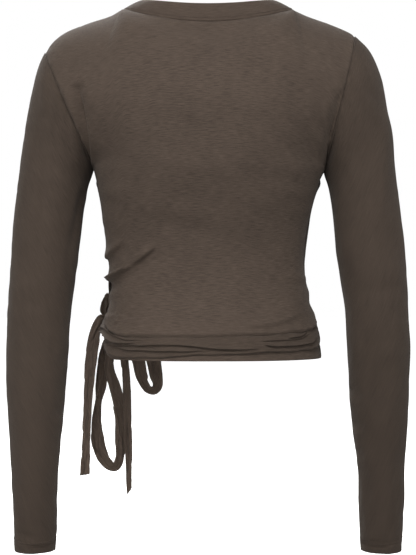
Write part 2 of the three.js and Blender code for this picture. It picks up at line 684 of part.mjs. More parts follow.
// The sash: a tie wound round the back over the hem, in lengthwise folds
function sash() {
  const outer = [];
  const inner = [];
  const ridges = 2 * SASH_FOLDS;
  for (let i = 0; i <= SASH_STEPS; i += 1) {
    const turn = lerp(SASH[0].turn, SASH[SASH.length - 1].turn, i / SASH_STEPS);
    const top = column(SASH, 'turn', 'top', turn);
    const bottom = column(SASH, 'turn', 'bottom', turn);
    const overFront = smooth((turn - SASH_OVER_FRONT.turn) / SASH_OVER_FRONT.span);
    const lift = TIE_LIFT + SEAM_GAP + LAYER * overFront;
    const outerRow = [];
    const innerRow = [];
    for (let k = 0; k <= ridges; k += 1) {
      const z = lerp(bottom, top, k / ridges);
      const fold = k % 2 === 1 ? SASH_FOLD_HEIGHT : 0;
      outerRow.push(turnPoint(turn, z, lift + SASH_WALL + fold));
      innerRow.push(turnPoint(turn, z, lift));
    }
    outer.push(outerRow);
    inner.push(innerRow);
  }
  return wall(outer, inner);
}

function knot() {
  const geometry = new THREE.SphereGeometry(1, 14, 10);
  const centre = turnPoint(KNOT.turn, KNOT.z, KNOT.lift);
  const outwards = centre.clone().sub(turnPoint(KNOT.turn, KNOT.z, 0)).normalize();
  const up = new THREE.Vector3(0, 0, 1);
  const beside = up.clone().cross(outwards).normalize();
  const frame = new THREE.Matrix4().makeBasis(
    beside.multiplyScalar(KNOT.along),
    up.clone().multiplyScalar(KNOT.tall),
    outwards.multiplyScalar(KNOT.thick),
  );
  geometry.applyMatrix4(frame.setPosition(centre));
  return geometry;
}

// A flat tie along a smooth path, slightly curled across its width
function tie(rows, steps) {
  const places = rows.map((row) => (row.turn === undefined
    ? new THREE.Vector3(row.x, row.y, row.z)
    : turnPoint(row.turn, row.z, row.lift)));
  const path = new THREE.CatmullRomCurve3(places);
  const acrossShares = [-0.5, -0.2, 0.2, 0.5];
  const curl = 0.09;
  const outer = [];
  const inner = [];
  for (let i = 0; i <= steps; i += 1) {
    const t = i / steps;
    const at = t * (rows.length - 1);
    const row = Math.min(rows.length - 2, Math.floor(at));
    const width = lerp(rows[row].width, rows[row + 1].width, smooth(at - row));
    const facing = THREE.MathUtils.degToRad(lerp(rows[row].facing, rows[row + 1].facing, smooth(at - row)));
    const point = path.getPoint(t);
    const tangent = path.getTangent(t);
    const face = new THREE.Vector3(Math.cos(facing), Math.sin(facing), 0);
    face.addScaledVector(tangent, -face.dot(tangent)).normalize();
    const beside = tangent.clone().cross(face);
    outer.push(acrossShares.map((share) => point.clone()
      .addScaledVector(beside, share * width)
      .addScaledVector(face, TIE_WALL / 2 - curl * width * (2 * share) ** 2)));
    inner.push(outer[i].map((p) => p.clone().addScaledVector(face, -TIE_WALL)));
  }
  return wall(outer, inner);
}

addPiece('back', backPanel(), JERSEY);
addPiece('front_under', frontPanel(1), SHADED_JERSEY);
addPiece('front_over', frontPanel(-1), JERSEY);
addPiece('sleeve_left', sleeve('left'), SHADED_JERSEY);
addPiece('sleeve_right', sleeve('right'), SHADED_JERSEY);
addPiece('neckband_back', backBand(), BAND_JERSEY);
addPiece('neckband_under', wrapBand(1), BAND_JERSEY);
addPiece('neckband_over', wrapBand(-1), BAND_JERSEY);
addPiece('sash_back', sash(), TIE_JERSEY);
addPiece('knot', knot(), TIE_JERSEY);
addPiece('tail_outer', tie(TAIL_OUTER, 16), TIE_JERSEY);
addPiece('tail_inner', tie(TAIL_INNER, 16), TIE_JERSEY);
addPiece('long_loop', tie(LONG_LOOP, 36), TIE_JERSEY);
addPiece('front_loop', tie(FRONT_LOOP, 28), TIE_JERSEY);
addPiece('side_loop', tie(SIDE_LOOP, 10), TIE_JERSEY);

export default garment;
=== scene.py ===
"""A cropped jersey wrap top with long sleeves and long ties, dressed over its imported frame. Sizes are in
millimetres until a mesh is made. +Z is up, +Y is the back and +X the wearer's left."""
import math

import bmesh
import bpy
import numpy as np
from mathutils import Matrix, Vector


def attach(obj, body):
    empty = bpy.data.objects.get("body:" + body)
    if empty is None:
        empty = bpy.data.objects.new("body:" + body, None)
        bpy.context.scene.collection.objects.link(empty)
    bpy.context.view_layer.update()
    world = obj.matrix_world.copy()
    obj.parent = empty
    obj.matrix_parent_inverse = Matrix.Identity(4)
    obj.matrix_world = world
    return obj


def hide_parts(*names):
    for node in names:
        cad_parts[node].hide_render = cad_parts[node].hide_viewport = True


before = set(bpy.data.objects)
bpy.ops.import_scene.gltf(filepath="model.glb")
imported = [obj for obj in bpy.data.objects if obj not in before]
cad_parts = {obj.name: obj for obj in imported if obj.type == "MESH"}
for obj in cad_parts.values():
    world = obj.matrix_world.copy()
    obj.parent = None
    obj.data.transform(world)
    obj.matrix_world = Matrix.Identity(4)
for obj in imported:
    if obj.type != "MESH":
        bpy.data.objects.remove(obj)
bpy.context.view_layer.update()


def table(names, rows):
    """Rows of numbers under named columns."""
    return {name: np.array([row[i] for row in rows], float) for i, name in enumerate(names.split())}


# ---- Sizes of the body, as in the frame ----
HEM_Z = -434
BODY_LENGTH = -HEM_Z
HEM_GATHER = {"start": 0.62, "rise": 24}  # the sash lifts the hem from here to the left side seam
UNDERARM_Z = -197
SIDE_Y = -4
SIDE_TO_MIDDLE = 200  # along the cloth from a side seam to the middle
NECK = (107, -2, -0.5)
BACK_NECK = (0, 62, -22)
FRONT_BASE = (0, -60, -46)
BAND_SIDE = (84, -1, 11)
BAND_BACK = (0, 56, -1)
BAND_WIDTH = 20
SIDE_SHARE = 12 / 22
MID_SHARE = 17 / 22
NECK_COLUMN = 0.6
SQUARENESS = 0.87
MIDDLE_TOP = {1: -100, -1: -116}
ROLL = {"reach": 1.35, "step": 0.01}  # how far the trunk's rise carries into the roll over the shoulder
ROLL_SHOULDER = {"y": 125, "z": 8.0}
ROLL_MIDDLE = {"y": 40, "z": 78.0}
LAYER = 3.2
SIGN = {"left": 1, "right": -1}
CLOTH = 0.9
HEM_DEPTH = 16
HEM_STITCHES = (HEM_DEPTH - 1, HEM_DEPTH - 4)

TRUNK = table("z left right back front", [
    (-445, 131, 141, 97, -106), (-434, 130.5, 140.5, 97, -106), (-415, 128, 136.8, 94, -105),
    (-390, 126, 132.3, 88, -103), (-365, 122.8, 127, 81, -101), (-340, 121.8, 122, 76, -100),
    (-310, 125.6, 120, 74, -101), (-280, 128.3, 123, 78, -106), (-250, 133, 129.2, 87, -114),
    (-220, 138.2, 137, 96, -120), (-197, 142, 144.3, 102, -119), (-150, 146, 148, 106, -110),
    (-118, 150, 152, 105, -101), (-60, 150, 152, 90, -82)])
ARMHOLE = {"left": {"x": 204, "z": -54.5, "y": -3, "back": 66, "front": 54},
           "right": {"x": 184, "z": -33.5, "y": -3, "back": 66, "front": 54}}
SHOULDER = table("x z", [
    (107, -0.5), (121, -7.5), (135, -12.5), (149.5, -17.5), (174.5, -27.5), (189.5, -37.5),
    (198.7, -47.5), (205.1, -57.5), (212.6, -75)])
SLEEVE = table("z outer inner depth y", [
    (-33.5, 184, 144, 60, -3), (-47.5, 198.7, 144, 60, -3), (-62.5, 207.6, 144, 60, -3),
    (-87.5, 216.4, 144, 58, -3), (-112.5, 222.1, 144, 55, -2), (-162.5, 230, 144, 51, -1),
    (-200, 234.7, 145.5, 49, 0), (-225, 237.5, 151.5, 47, 1), (-250, 239.9, 155, 46, 2),
    (-300, 244.4, 160.5, 45, 4), (-350, 248.3, 167.3, 44.5, 6), (-400, 250.8, 172.2, 44, 6),
    (-450, 251.4, 175.3, 42, 3), (-500, 250.2, 179.2, 39.5, -3), (-550, 248.6, 185, 36, -10),
    (-600, 247.2, 190, 33.5, -17), (-650, 245.4, 192, 32, -24), (-680, 243.9, 194, 31.5, -28)])
CUFF_Z = -679
SLEEVE_START = {"outer": -240, "inner": -246}
FAN_RINGS = 6
SLEEVE_RINGS = 16
ARM_LENGTH = 437  # from the last fan ring to the cuff
WRAP_EDGE = table("across z", [
    (-107, -0.5), (-60, -62), (0, -152), (60, -245), (105, -322), (126, -364)])
WRAP_END = {1: 0.88, -1: 0.94}  # where each front ends, as a share of the way to the far side seam
OVER_RISE = 0.09  # the over front stands out by a layer within this share from its side seam
OVER_TOP = {"z": -140, "fade": 70}
BAND_BLEND = 60  # a front neckband turns over the shoulder within this
SASH = table("turn top bottom", [
    (2, -388, -411), (20, -398, -421), (55, -403, -424), (90, -405, -427), (120, -406, -431),
    (140, -406, -432), (155, -402, -429), (168, -393, -419), (180, -386, -407), (200.9, -384, -400)])
SASH_LIFT = 0.7

# ---- The camera, on whose picture plane the creases are placed ----
VIEW_DISTANCE = 2000
VIEW_Z = -334.4
VIEW_HEIGHT = 693.75


# ---- Small mathematics ----
TINY = 1e-3


def lerp(a, b, t):
    return a + (b - a) * t


def smooth(t):
    c = np.clip(t, 0, 1)
    return c * c * (3 - 2 * c)


def vec(x, y, z):
    return np.stack(np.broadcast_arrays(x, y, z), axis=-1).astype(float)


def unit(v):
    return v / np.maximum(np.linalg.norm(v, axis=-1, keepdims=True), 1e-9)


def column(tab, key, name, value):
    """Smooth curve through a column, with the slope at each row taken from its neighbours."""
    k, v = tab[key], tab[name]
    if k[0] > k[-1]:
        k, v = k[::-1], v[::-1]
    slope = np.empty_like(v)
    slope[1:-1] = (v[2:] - v[:-2]) / (k[2:] - k[:-2])
    slope[0] = (v[1] - v[0]) / (k[1] - k[0])
    slope[-1] = (v[-1] - v[-2]) / (k[-1] - k[-2])
    value = np.asarray(value, float)
    i = np.clip(np.searchsorted(k, value, side="right") - 1, 0, len(k) - 2)
    span = k[i + 1] - k[i]
    t = np.clip((value - k[i]) / span, 0, 1)
    t2, t3 = t * t, t * t * t
    return ((2 * t3 - 3 * t2 + 1) * v[i] + (t3 - 2 * t2 + t) * span * slope[i]
            + (3 * t2 - 2 * t3) * v[i + 1] + (t3 - t2) * span * slope[i + 1])


def through(points, t):
    """A smooth curve through points, evenly shared among them, with each stretch eased by its own length."""
    last = len(points) - 1
    at = np.clip(t, 0, 1) * last
    i = np.minimum(at.astype(int), last - 1)
    w = (at - i)[:, None]
    ends = np.concatenate([[2 * points[0] - points[1]], points, [2 * points[-1] - points[-2]]])
    p0, p1, p2, p3 = [ends[i + k] for k in range(4)]
    d0, d1, d2 = [np.linalg.norm(v, axis=-1, keepdims=True) ** 0.5 for v in (p1 - p0, p2 - p1, p3 - p2)]
    t1 = ((p1 - p0) / d0 - (p2 - p0) / (d0 + d1) + (p2 - p1) / d1) * d1
    t2 = ((p2 - p1) / d1 - (p3 - p1) / (d1 + d2) + (p3 - p2) / d2) * d1
    return p1 + t1 * w + (3 * (p2 - p1) - 2 * t1 - t2) * w * w + (2 * (p1 - p2) + t1 + t2) * w ** 3


# ---- Surface of the body: face 1 is the back and -1 the front, across runs from the right side seam (-1) to
# the left (1), and share from the hem (0) by the underarm to the shoulder and neck (1) ----
def hem_z(across):
    start = HEM_GATHER["start"]
    gathered = np.maximum(0, (np.asarray(across, float) - start) / (1 - start))
    return HEM_Z + HEM_GATHER["rise"] * gathered * gathered


def armhole_point(side, face, angle):
    a = ARMHOLE[side]
    under_x = column(TRUNK, "z", side, UNDERARM_Z)
    rise = (1 + np.cos(angle)) / 2
    depth = a["back"] if face > 0 else a["front"]
    return vec(SIGN[side] * lerp(under_x, a["x"], rise),
               lerp(SIDE_Y, a["y"], rise) + face * depth * np.sin(angle),
               lerp(UNDERARM_Z, a["z"], rise))


def side_point(side, face, share):
    low_share = np.minimum(share, SIDE_SHARE)
    z = lerp(hem_z(SIGN[side]), UNDERARM_Z, low_share / SIDE_SHARE)
    low = vec(SIGN[side] * column(TRUNK, "z", side, z), SIDE_Y, z)
    over = (np.maximum(share, SIDE_SHARE) - SIDE_SHARE) / (1 - SIDE_SHARE)
    high = armhole_point(side, face, np.pi * (1 - over))
    return np.where((share > SIDE_SHARE)[..., None], high, low)


def by_side(across, make):
    return np.where((across >= 0)[..., None], make("left"), make("right"))


def section_point(face, across, share):
    """One level section through the trunk: an arc of a squarish ellipse that ends on the side point."""
    edge = by_side(across, lambda side: side_point(side, face, share))
    part = np.abs(across)
    low = share <= SIDE_SHARE
    rest = (share - SIDE_SHARE) / (MID_SHARE - SIDE_SHARE)
    middle_z = np.where(low, lerp(HEM_Z, UNDERARM_Z, share / SIDE_SHARE),
                        lerp(UNDERARM_Z, MIDDLE_TOP[face], rest))
    lift = (hem_z(across) - HEM_Z) * (1 - share / SIDE_SHARE)
    z = np.where(low, middle_z + lift, lerp(middle_z, edge[..., 2], part * part))
    depth = np.abs(column(TRUNK, "z", "back" if face > 0 else "front", z) - SIDE_Y)
    edge_depth = np.abs(edge[..., 1] - SIDE_Y) / depth
    end = np.arccos(np.minimum(1, edge_depth ** (1 / SQUARENESS)))
    angle = part * end
    half = np.where(across >= 0, column(TRUNK, "z", "left", z), column(TRUNK, "z", "right", z))
    width = np.where(low, half, np.abs(edge[..., 0]))
    x = width * (np.sin(angle) / np.sin(end)) ** SQUARENESS
    y = SIDE_Y + face * depth * np.maximum(0, np.cos(angle)) ** SQUARENESS
    return vec(np.where(across >= 0, 1, -1) * x, y, z)


def top_point(face, across):
    """Top edge of a panel: the neck curve in the middle and the shoulder seams beside it."""
    part = np.abs(across)
    sign = np.where(across >= 0, 1, -1)
    q = np.maximum(0, (part - NECK_COLUMN) / (1 - NECK_COLUMN))
    tip_x = np.where(across >= 0, ARMHOLE["left"]["x"], ARMHOLE["right"]["x"])
    x = lerp(NECK[0], tip_x, q)
    seam = vec(sign * x, lerp(NECK[1], ARMHOLE["left"]["y"], q), column(SHOULDER, "x", "z", x))
    middle = BACK_NECK if face > 0 else FRONT_BASE
    angle = np.minimum(1, part / NECK_COLUMN) * np.pi / 2
    neck = vec(sign * NECK[0] * np.sin(angle), lerp(NECK[1], middle[1], np.cos(angle)),
               lerp(NECK[2], middle[2], np.cos(angle) ** 2))
    return np.where((part >= NECK_COLUMN)[..., None], seam, neck)


def upper_point(face, across, share):
    """Above the middle of the armhole each column rises from the trunk and rolls over to the shoulder."""
    q = (np.maximum(share, MID_SHARE) - MID_SHARE) / (1 - MID_SHARE)
    mid = np.full(np.shape(across), MID_SHARE)
    start = section_point(face, across, mid)
    below = section_point(face, across, mid - ROLL["step"])
    rise = (start - below) * ROLL["reach"] * (1 - MID_SHARE) / ROLL["step"]
    over, up = [np.array([0, -face * s["y"], s["z"]]) for s in (ROLL_SHOULDER, ROLL_MIDDLE)]
    end = lerp(up, over, smooth(np.abs(across) / NECK_COLUMN)[..., None])
    q = q[..., None]
    q2, q3 = q * q, q * q * q
    return ((2 * q3 - 3 * q2 + 1) * start + (q3 - 2 * q2 + q) * rise
            + (3 * q2 - 2 * q3) * top_point(face, across) + (q3 - q2) * end)


def bare_point(face, across, share):
    across, share = np.broadcast_arrays(np.asarray(across, float), np.asarray(share, float))
    low = section_point(face, across, np.minimum(share, MID_SHARE))
    high = upper_point(face, across, share)

    def miss(side):
        edge = np.full(np.shape(across), float(SIGN[side]))
        return side_point(side, face, share) - upper_point(face, edge, share)

    high = high + by_side(across, miss) * (np.abs(across) ** 3)[..., None]
    return np.where((share > MID_SHARE)[..., None], high, low)


def body_normal(face, across, share):
    e = TINY
    u = np.clip(across, 2 * e - 1, 1 - 2 * e)
    v = np.clip(share, 2 * e, 1 - 2 * e)
    du = bare_point(face, u + e, v) - bare_point(face, u - e, v)
    dv = bare_point(face, u, v + e) - bare_point(face, u, v - e)
    return unit(np.cross(du, dv)) * -face


def body_point(face, across, share, lift=0):
    lift = np.asarray(lift, float)[..., None]
    return bare_point(face, across, share) + body_normal(face, across, share) * lift


def turn_point(turn, z, lift):
    """A point by its turn round the body: 0 right seam, 90 middle back, 180 left seam, 270 middle front."""
    turn, z, lift = np.broadcast_arrays(*[np.asarray(v, float) for v in (turn, z, lift)])
    back = turn <= 180
    across = np.where(back, turn / 90 - 1, 1 - (turn - 180) / 90)
    low = hem_z(across)
    share = np.maximum(0, SIDE_SHARE * (z - low) / (UNDERARM_Z - low))
    point = np.where(back[..., None], *[body_point(face, across, share, lift) for face in (1, -1)])
    point[..., 2] = z
    return point


# ---- Creases and ripples ----
def seen(point):
    """Where the camera sees a point, on the upright plane through the shoulders."""
    scale = VIEW_DISTANCE / (VIEW_DISTANCE - point[..., 1])
    return np.stack([point[..., 0] * scale, VIEW_Z + (point[..., 2] - VIEW_Z) * scale], axis=-1)


def flat(point):
    return point[..., [0, 2]]


def nearest_on(path, places):
    """Distance from places to a path, above it positive, and how far along the path the nearest point is."""
    best = np.full(len(places), np.inf)
    along = np.zeros(len(places))
    signed = np.zeros(len(places))
    whole = path[-1] - path[0]
    flip = -1 if whole[0] < 0 else 1
    last = len(path) - 1
    for i in range(last):
        step = path[i + 1] - path[i]
        s = np.clip(((places - path[i]) @ step) / (step @ step), 0, 1)
        off = places - path[i] - s[:, None] * step
        distance = np.hypot(off[:, 0], off[:, 1])
        side = np.sign(step[0] * off[:, 1] - step[1] * off[:, 0]) * flip
        nearer = distance < best
        best = np.where(nearer, distance, best)
        signed = np.where(nearer, distance * side, signed)
        along = np.where(nearer, (i + s) / last, along)
    return signed, along


def bend(row, parts=12):
    """A smooth path through the three points of a crease."""
    first, middle, end = [np.array([row["x%d" % i], row["z%d" % i]]) for i in (1, 2, 3)]
    control = 2 * middle - (first + end) / 2
    t = np.linspace(0, 1, parts + 1)[:, None]
    return (1 - t) ** 2 * first + 2 * t * (1 - t) * control + t * t * end


def beside(path, where, reach):
    """Which places lie within reach of a path, and how far off it and along it they are."""
    near = ((where > path.min(axis=0) - reach) & (where < path.max(axis=0) + reach)).all(axis=-1)
    return near, *nearest_on(path, where[near])


# Reach, edge, fade and trough are in widths; start and end are the shares of the length that taper
FOLD = {"reach": 12, "edge": 0.4, "fade": 3, "start": 0.2, "end": 0.3}
CREASED = {"reach": 3.5, "trough": 1.5, "undercut": 0.45, "start": 0.25, "end": 0.4}


def taper(along, opened, form):
    return smooth(along / form["start"] + opened) * smooth((1 - along) / form["end"])


def steps(folds, where):
    """Height of folds that lie over the cloth below them, so that each shows as a sharp edge in shade.
    A fold is its height, its width, 1 if it starts at full height, and its points."""
    total = np.zeros(where.shape[:-1])
    for height, width, start, points in folds:
        path = through(np.array(points, float), np.linspace(0, 1, 4 * len(points) + 1))
        near, off, along = beside(path, where, FOLD["reach"] * width)
        edge = np.tanh(off / (FOLD["edge"] * width)) * np.exp(-np.abs(off) / (FOLD["fade"] * width))
        total[near] += height * taper(along, start, FOLD) * edge
    return total


def creases(tab, where):
    """Height of a table's creases at the places. A ridge has a shallow trough under it."""
    total = np.zeros(where.shape[:-1])
    for i, width in enumerate(tab["width"]):
        row = {name: values[i] for name, values in tab.items()}
        near, off, along = beside(bend(row), where, CREASED["reach"] * width)
        under = (off + CREASED["trough"] * width) / width
        shape = np.exp(-(off / width) ** 2) - CREASED["undercut"] * np.exp(-under ** 2)
        total[near] += row["height"] * taper(along, row["open"], CREASED) * shape
    return total


def ripple(where, length, seed, waves=7):
    """Uneven low waves about one length apart, from a seeded set of directions."""
    random = np.random.default_rng(seed)
    total = np.zeros(where.shape[:-1])
    for _ in range(waves):
        angle = random.uniform(0, 2 * np.pi)
        pitch = length * random.uniform(0.7, 1.6)
        phase = random.uniform(0, 2 * np.pi)
        run = where[..., 0] * np.cos(angle) + where[..., 1] * np.sin(angle)
        total += np.sin(2 * np.pi * run / pitch + phase + 1.3 * np.sin(run / pitch * 2.1 + phase))
    return total / math.sqrt(waves)


# ---- Meshes ----
def grid_normals(points, tube):
    if tube:
        around = np.roll(points, -1, axis=1) - np.roll(points, 1, axis=1)
    else:
        around = np.gradient(points, axis=1)
    return unit(np.cross(around, np.gradient(points, axis=0)))


def arc(points, axis):
    """Length along the cloth from the first row or column."""
    step = np.linalg.norm(np.diff(points, axis=axis), axis=-1)
    pad = [(0, 0), (0, 0)]
    pad[axis] = (1, 0)
    return np.cumsum(np.pad(step, pad), axis=axis)


def run_along(path):
    """Length along a path from its first point."""
    return np.concatenate([[0], np.cumsum(np.linalg.norm(np.diff(path, axis=0), axis=-1))])


def quads(a, b, c, d):
    return np.stack([a, b, c, d], axis=-1).reshape(-1, 4)


def placed(name, data):
    obj = bpy.data.objects.new(name, data)
    bpy.context.scene.collection.objects.link(obj)
    return obj


def cloth_object(name, mesh, cloth, material, *nodes):
    """A shaded mesh as a piece of jersey. Cloth holds each point's place on the flat cloth, in metres."""
    mesh.shade_smooth()
    if cloth is not None:
        layer = mesh.attributes.new("cloth", "FLOAT_VECTOR", "POINT")
        layer.data.foreach_set("vector", cloth.astype(np.float32).ravel())
    mesh.materials.append(material)
    obj = placed(name, mesh)
    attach(obj, "root")
    if nodes:
        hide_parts(*nodes)
    return obj


def add_mesh(name, points, faces, material, cloth=None, nodes=()):
    """Faces are turned so that they enclose a positive volume."""
    points = np.asarray(points, float).reshape(-1, 3) / 1000
    faces = np.asarray(faces, int)
    a, b, c, d = [points[faces[:, k]] for k in range(4)]
    if np.sum(a * np.cross(b, c)) + np.sum(a * np.cross(c, d)) < 0:
        faces = faces[:, ::-1]
    mesh = bpy.data.meshes.new(name)
    mesh.from_pydata(points.tolist(), [], faces.tolist())
    cloth = None if cloth is None else cloth.reshape(-1, 3) / 1000
    return cloth_object(name, mesh, cloth, material, *nodes)


RIM_ROUND = 0.4  # how far a rim bulges, as a share of the wall


def cloth_piece(name, outer, material, outward, thickness=CLOTH, tube=False, nodes=(), run="across"):
    """A closed thin wall under an outer grid of points. Its rims are rounded like a turned edge."""
    rows, cols = outer.shape[:2]
    normal = grid_normals(outer, tube)
    if np.sum(normal * outward) < 0:
        normal = -normal
    thick = np.broadcast_to(np.asarray(thickness, float), (rows, cols))[..., None]
    inner = outer - normal * thick
    ids = np.arange(rows * cols).reshape(rows, cols)
    nxt = np.roll(ids, -1, axis=1) if tube else ids[:, 1:]
    here = ids if tube else ids[:, :-1]
    shift = rows * cols
    faces = [quads(here[:-1], nxt[:-1], nxt[1:], here[1:]),
             quads(here[:-1] + shift, here[1:] + shift, nxt[1:] + shift, nxt[:-1] + shift)]
    points = [outer.reshape(-1, 3), inner.reshape(-1, 3)]
    first = 2 * rows * cols
    if tube:
        loops = [(ids[0], outer[0] - outer[1]), (ids[-1][::-1], (outer[-1] - outer[-2])[::-1])]
    else:
        edge = np.concatenate([ids[0, :-1], ids[:-1, -1], ids[-1, :0:-1], ids[:0:-1, 0]])
        pull = np.concatenate([(outer[0] - outer[1])[:-1], (outer[:, -1] - outer[:, -2])[:-1],
                               (outer[-1] - outer[-2])[:0:-1], (outer[:, 0] - outer[:, 1])[:0:-1]])
        loops = [(edge, pull)]
    u, v = arc(outer, 1), arc(outer, 0)
    u, v = (u, v) if run == "across" else (v, u)
    weave = np.stack([u, v, np.zeros_like(u)], axis=-1).reshape(-1, 3)
    cloth = [weave, weave]
    for edge, pull in loops:
        bulge = (outer.reshape(-1, 3)[edge] + inner.reshape(-1, 3)[edge]) / 2
        bulge = bulge + unit(pull) * thick.reshape(-1, 1)[edge] * RIM_ROUND
        mid = first + np.arange(len(edge))
        after, mid_after = np.roll(edge, -1), np.roll(mid, -1)
        faces.append(quads(edge, mid, mid_after, after))
        faces.append(quads(mid, edge + shift, after + shift, mid_after))
        points.append(bulge)
        cloth.append(weave[edge])
        first += len(edge)
    points, faces, cloth = [np.concatenate(v) for v in (points, faces, cloth)]
    return add_mesh(name, points, faces, material, cloth, nodes)


def tube(name, path, radius, material, closed=False, sides=10):
    """A round cord of cloth or thread along a path."""
    if closed:
        along = np.roll(path, -1, axis=0) - np.roll(path, 1, axis=0)
    else:
        along = np.gradient(path, axis=0)
    along = unit(along)
    across = unit(np.cross(along, np.array([0.31, 0.17, 0.93])))
    other = np.cross(along, across)
    turn = np.linspace(0, 2 * np.pi, sides, endpoint=False)[None, :, None]
    points = path[:, None] + radius * (across[:, None] * np.cos(turn) + other[:, None] * np.sin(turn))
    ids = np.arange(points.shape[0] * sides).reshape(-1, sides)
    if closed:
        ids = np.concatenate([ids, ids[:1]])
    nxt = np.roll(ids, -1, axis=1)
    faces = [quads(ids[:-1], nxt[:-1], nxt[1:], ids[1:])]
    run = np.broadcast_to(arc(points, 0)[..., None], points.shape) * np.array([1, 0, 0])
    return add_mesh(name, points, np.concatenate(faces), material, run)


STITCH_SUNK = 0.3
STITCH_TOP = 0.55  # the top of a stitch is this share of its width
BOX_FACES = ((0, 3, 2, 1), (4, 5, 6, 7), (0, 1, 5, 4), (1, 2, 6, 5), (2, 3, 7, 6), (3, 0, 4, 7))


def stitches(name, rows, pitch=3.0, length=2.3, width=0.55, height=0.3):
    """Short raised stitches along rows of points. Each row comes with the outward direction at its points."""
    points, faces, count = [], [], 0
    for path, normal in rows:
        run = run_along(path)
        at = np.arange(pitch / 2, run[-1], pitch)
        centre = np.stack([np.interp(at, run, path[:, k]) for k in range(3)], axis=-1)
        along = unit(np.stack([np.interp(at + 0.5, run, path[:, k]) for k in range(3)], axis=-1) - centre)
        out = unit(np.stack([np.interp(at, run, normal[:, k]) for k in range(3)], axis=-1))
        beside = np.cross(along, out)
        for lift, narrow in ((-STITCH_SUNK, 1.0), (height, STITCH_TOP)):
            for x, y in ((-1, -1), (1, -1), (1, 1), (-1, 1)):
                points.append(centre + out * lift + along * (x * length / 2 * (narrow + 1) / 2)
                              + beside * (y * width / 2 * narrow))
        n = len(centre)
        first = count + np.arange(n)
        corner = [first + k * n for k in range(8)]
        faces.extend(quads(*[corner[k] for k in face]) for face in BOX_FACES)
        count += 8 * n
    return add_mesh(name, np.concatenate(points), np.concatenate(faces), THREAD)


# ---- Jersey ----
def node(tree, kind, **values):
    item = tree.nodes.new(kind)
    for key, value in values.items():
        if key in item.inputs:
            item.inputs[key].default_value = value
        else:
            setattr(item, key, value)
    return item


CLOTH_SHADER = {"Specular IOR Level": 0.12, "Sheen Weight": 0.05, "Sheen Roughness": 0.45,
                "Sheen Tint": (0.9, 0.84, 0.78, 1)}
PATCH_SHARE = 0.25  # unevenness of the dye, as a share of that of the streaks


def jersey(name, color, shade):
    """Knitted viscose jersey: fine ribs, streaks along the courses, uneven dye and a soft fuzz."""
    material = bpy.data.materials.new(name)
    material.use_nodes = True
    tree = material.node_tree
    link = tree.links.new
    shader = tree.nodes["Principled BSDF"]
    for key, value in CLOTH_SHADER.items():
        shader.inputs[key].default_value = value
    place = node(tree, "ShaderNodeAttribute", attribute_name="cloth")

    def noise(scale, stretch, detail=3.0, rough=0.6):
        mapping = node(tree, "ShaderNodeMapping", Scale=stretch)
        link(place.outputs["Vector"], mapping.inputs["Vector"])
        texture = node(tree, "ShaderNodeTexNoise", Scale=scale, Detail=detail, Roughness=rough)
        link(mapping.outputs["Vector"], texture.inputs["Vector"])
        return texture.outputs["Fac"]

    def ramp(value, low, high, dark, light):
        item = node(tree, "ShaderNodeMapRange", **{"From Min": low, "From Max": high, "To Min": dark,
                                                   "To Max": light})
        link(value, item.inputs["Value"])
        return item.outputs["Result"]

    def join(operation, a, b):
        item = node(tree, "ShaderNodeMath", operation=operation)
        link(a, item.inputs[0])
        link(b, item.inputs[1])
        return item.outputs[0]

    def wave(direction, scale, distortion):
        item = node(tree, "ShaderNodeTexWave", bands_direction=direction, Scale=scale, Distortion=distortion,
                    **{"Detail": 1.0, "Detail Scale": 60.0})
        link(place.outputs["Vector"], item.inputs["Vector"])
        return item.outputs["Fac"]

    def bump(height, strength, distance):
        item = node(tree, "ShaderNodeBump", Strength=strength, Distance=distance)
        link(height, item.inputs["Height"])
        return item

    streaks = noise(1000, (0.09, 1.0, 1.0), 3.0, 0.62)
    patches = noise(22, (1.0, 1.0, 1.0))
    fibres = noise(1500, (0.5, 1.0, 1.0), 2.0)
    dye = PATCH_SHARE * shade
    tone = join("MULTIPLY", ramp(streaks, 0.32, 0.68, 1 - shade, 1 + shade),
                ramp(patches, 0.3, 0.7, 1 - dye, 1 + dye))
    tone = join("MULTIPLY", tone, ramp(fibres, 0.3, 0.7, 0.9, 1.1))
    gray = node(tree, "ShaderNodeCombineColor")
    for channel in range(3):
        link(tone, gray.inputs[channel])
    dyed = node(tree, "ShaderNodeMix", data_type="RGBA", blend_type="MULTIPLY")
    dyed.inputs[0].default_value = 1.0
    dyed.inputs[6].default_value = (*color, 1)
    link(gray.outputs[0], dyed.inputs[7])
    link(dyed.outputs[2], shader.inputs["Base Color"])
    link(ramp(fibres, 0.3, 0.7, 0.82, 0.96), shader.inputs["Roughness"])
    fine = bump(join("ADD", wave("X", 300.0, 1.2), wave("Y", 380.0, 1.5)), 0.35, 0.0003)
    coarse = bump(streaks, 0.4, 0.0006)
    link(fine.outputs["Normal"], coarse.inputs["Normal"])
    link(coarse.outputs["Normal"], shader.inputs["Normal"])
    return material


BODY = jersey("jersey_body", (0.0435, 0.0319, 0.0244), 0.3)
# The sleeves and the sash take a darker copy of the same jersey: painted shade, for the light that reaches
# them less than the back.
SHADED_JERSEY = jersey("jersey_shaded", (0.0355, 0.0259, 0.0196), 0.26)
BANDS = jersey("jersey_band", (0.0415, 0.0303, 0.0232), 0.22)
# The ties and the knot take a lighter copy of the same jersey: painted light, against the shade that the ties
# hang in below the hem.
LIT_JERSEY = jersey("jersey_lit", (0.052, 0.038, 0.0292), 0.24)
SEAM, THREAD = [jersey(name, (0.03, 0.022, 0.017), 0.1) for name in ("jersey_seam", "thread")]


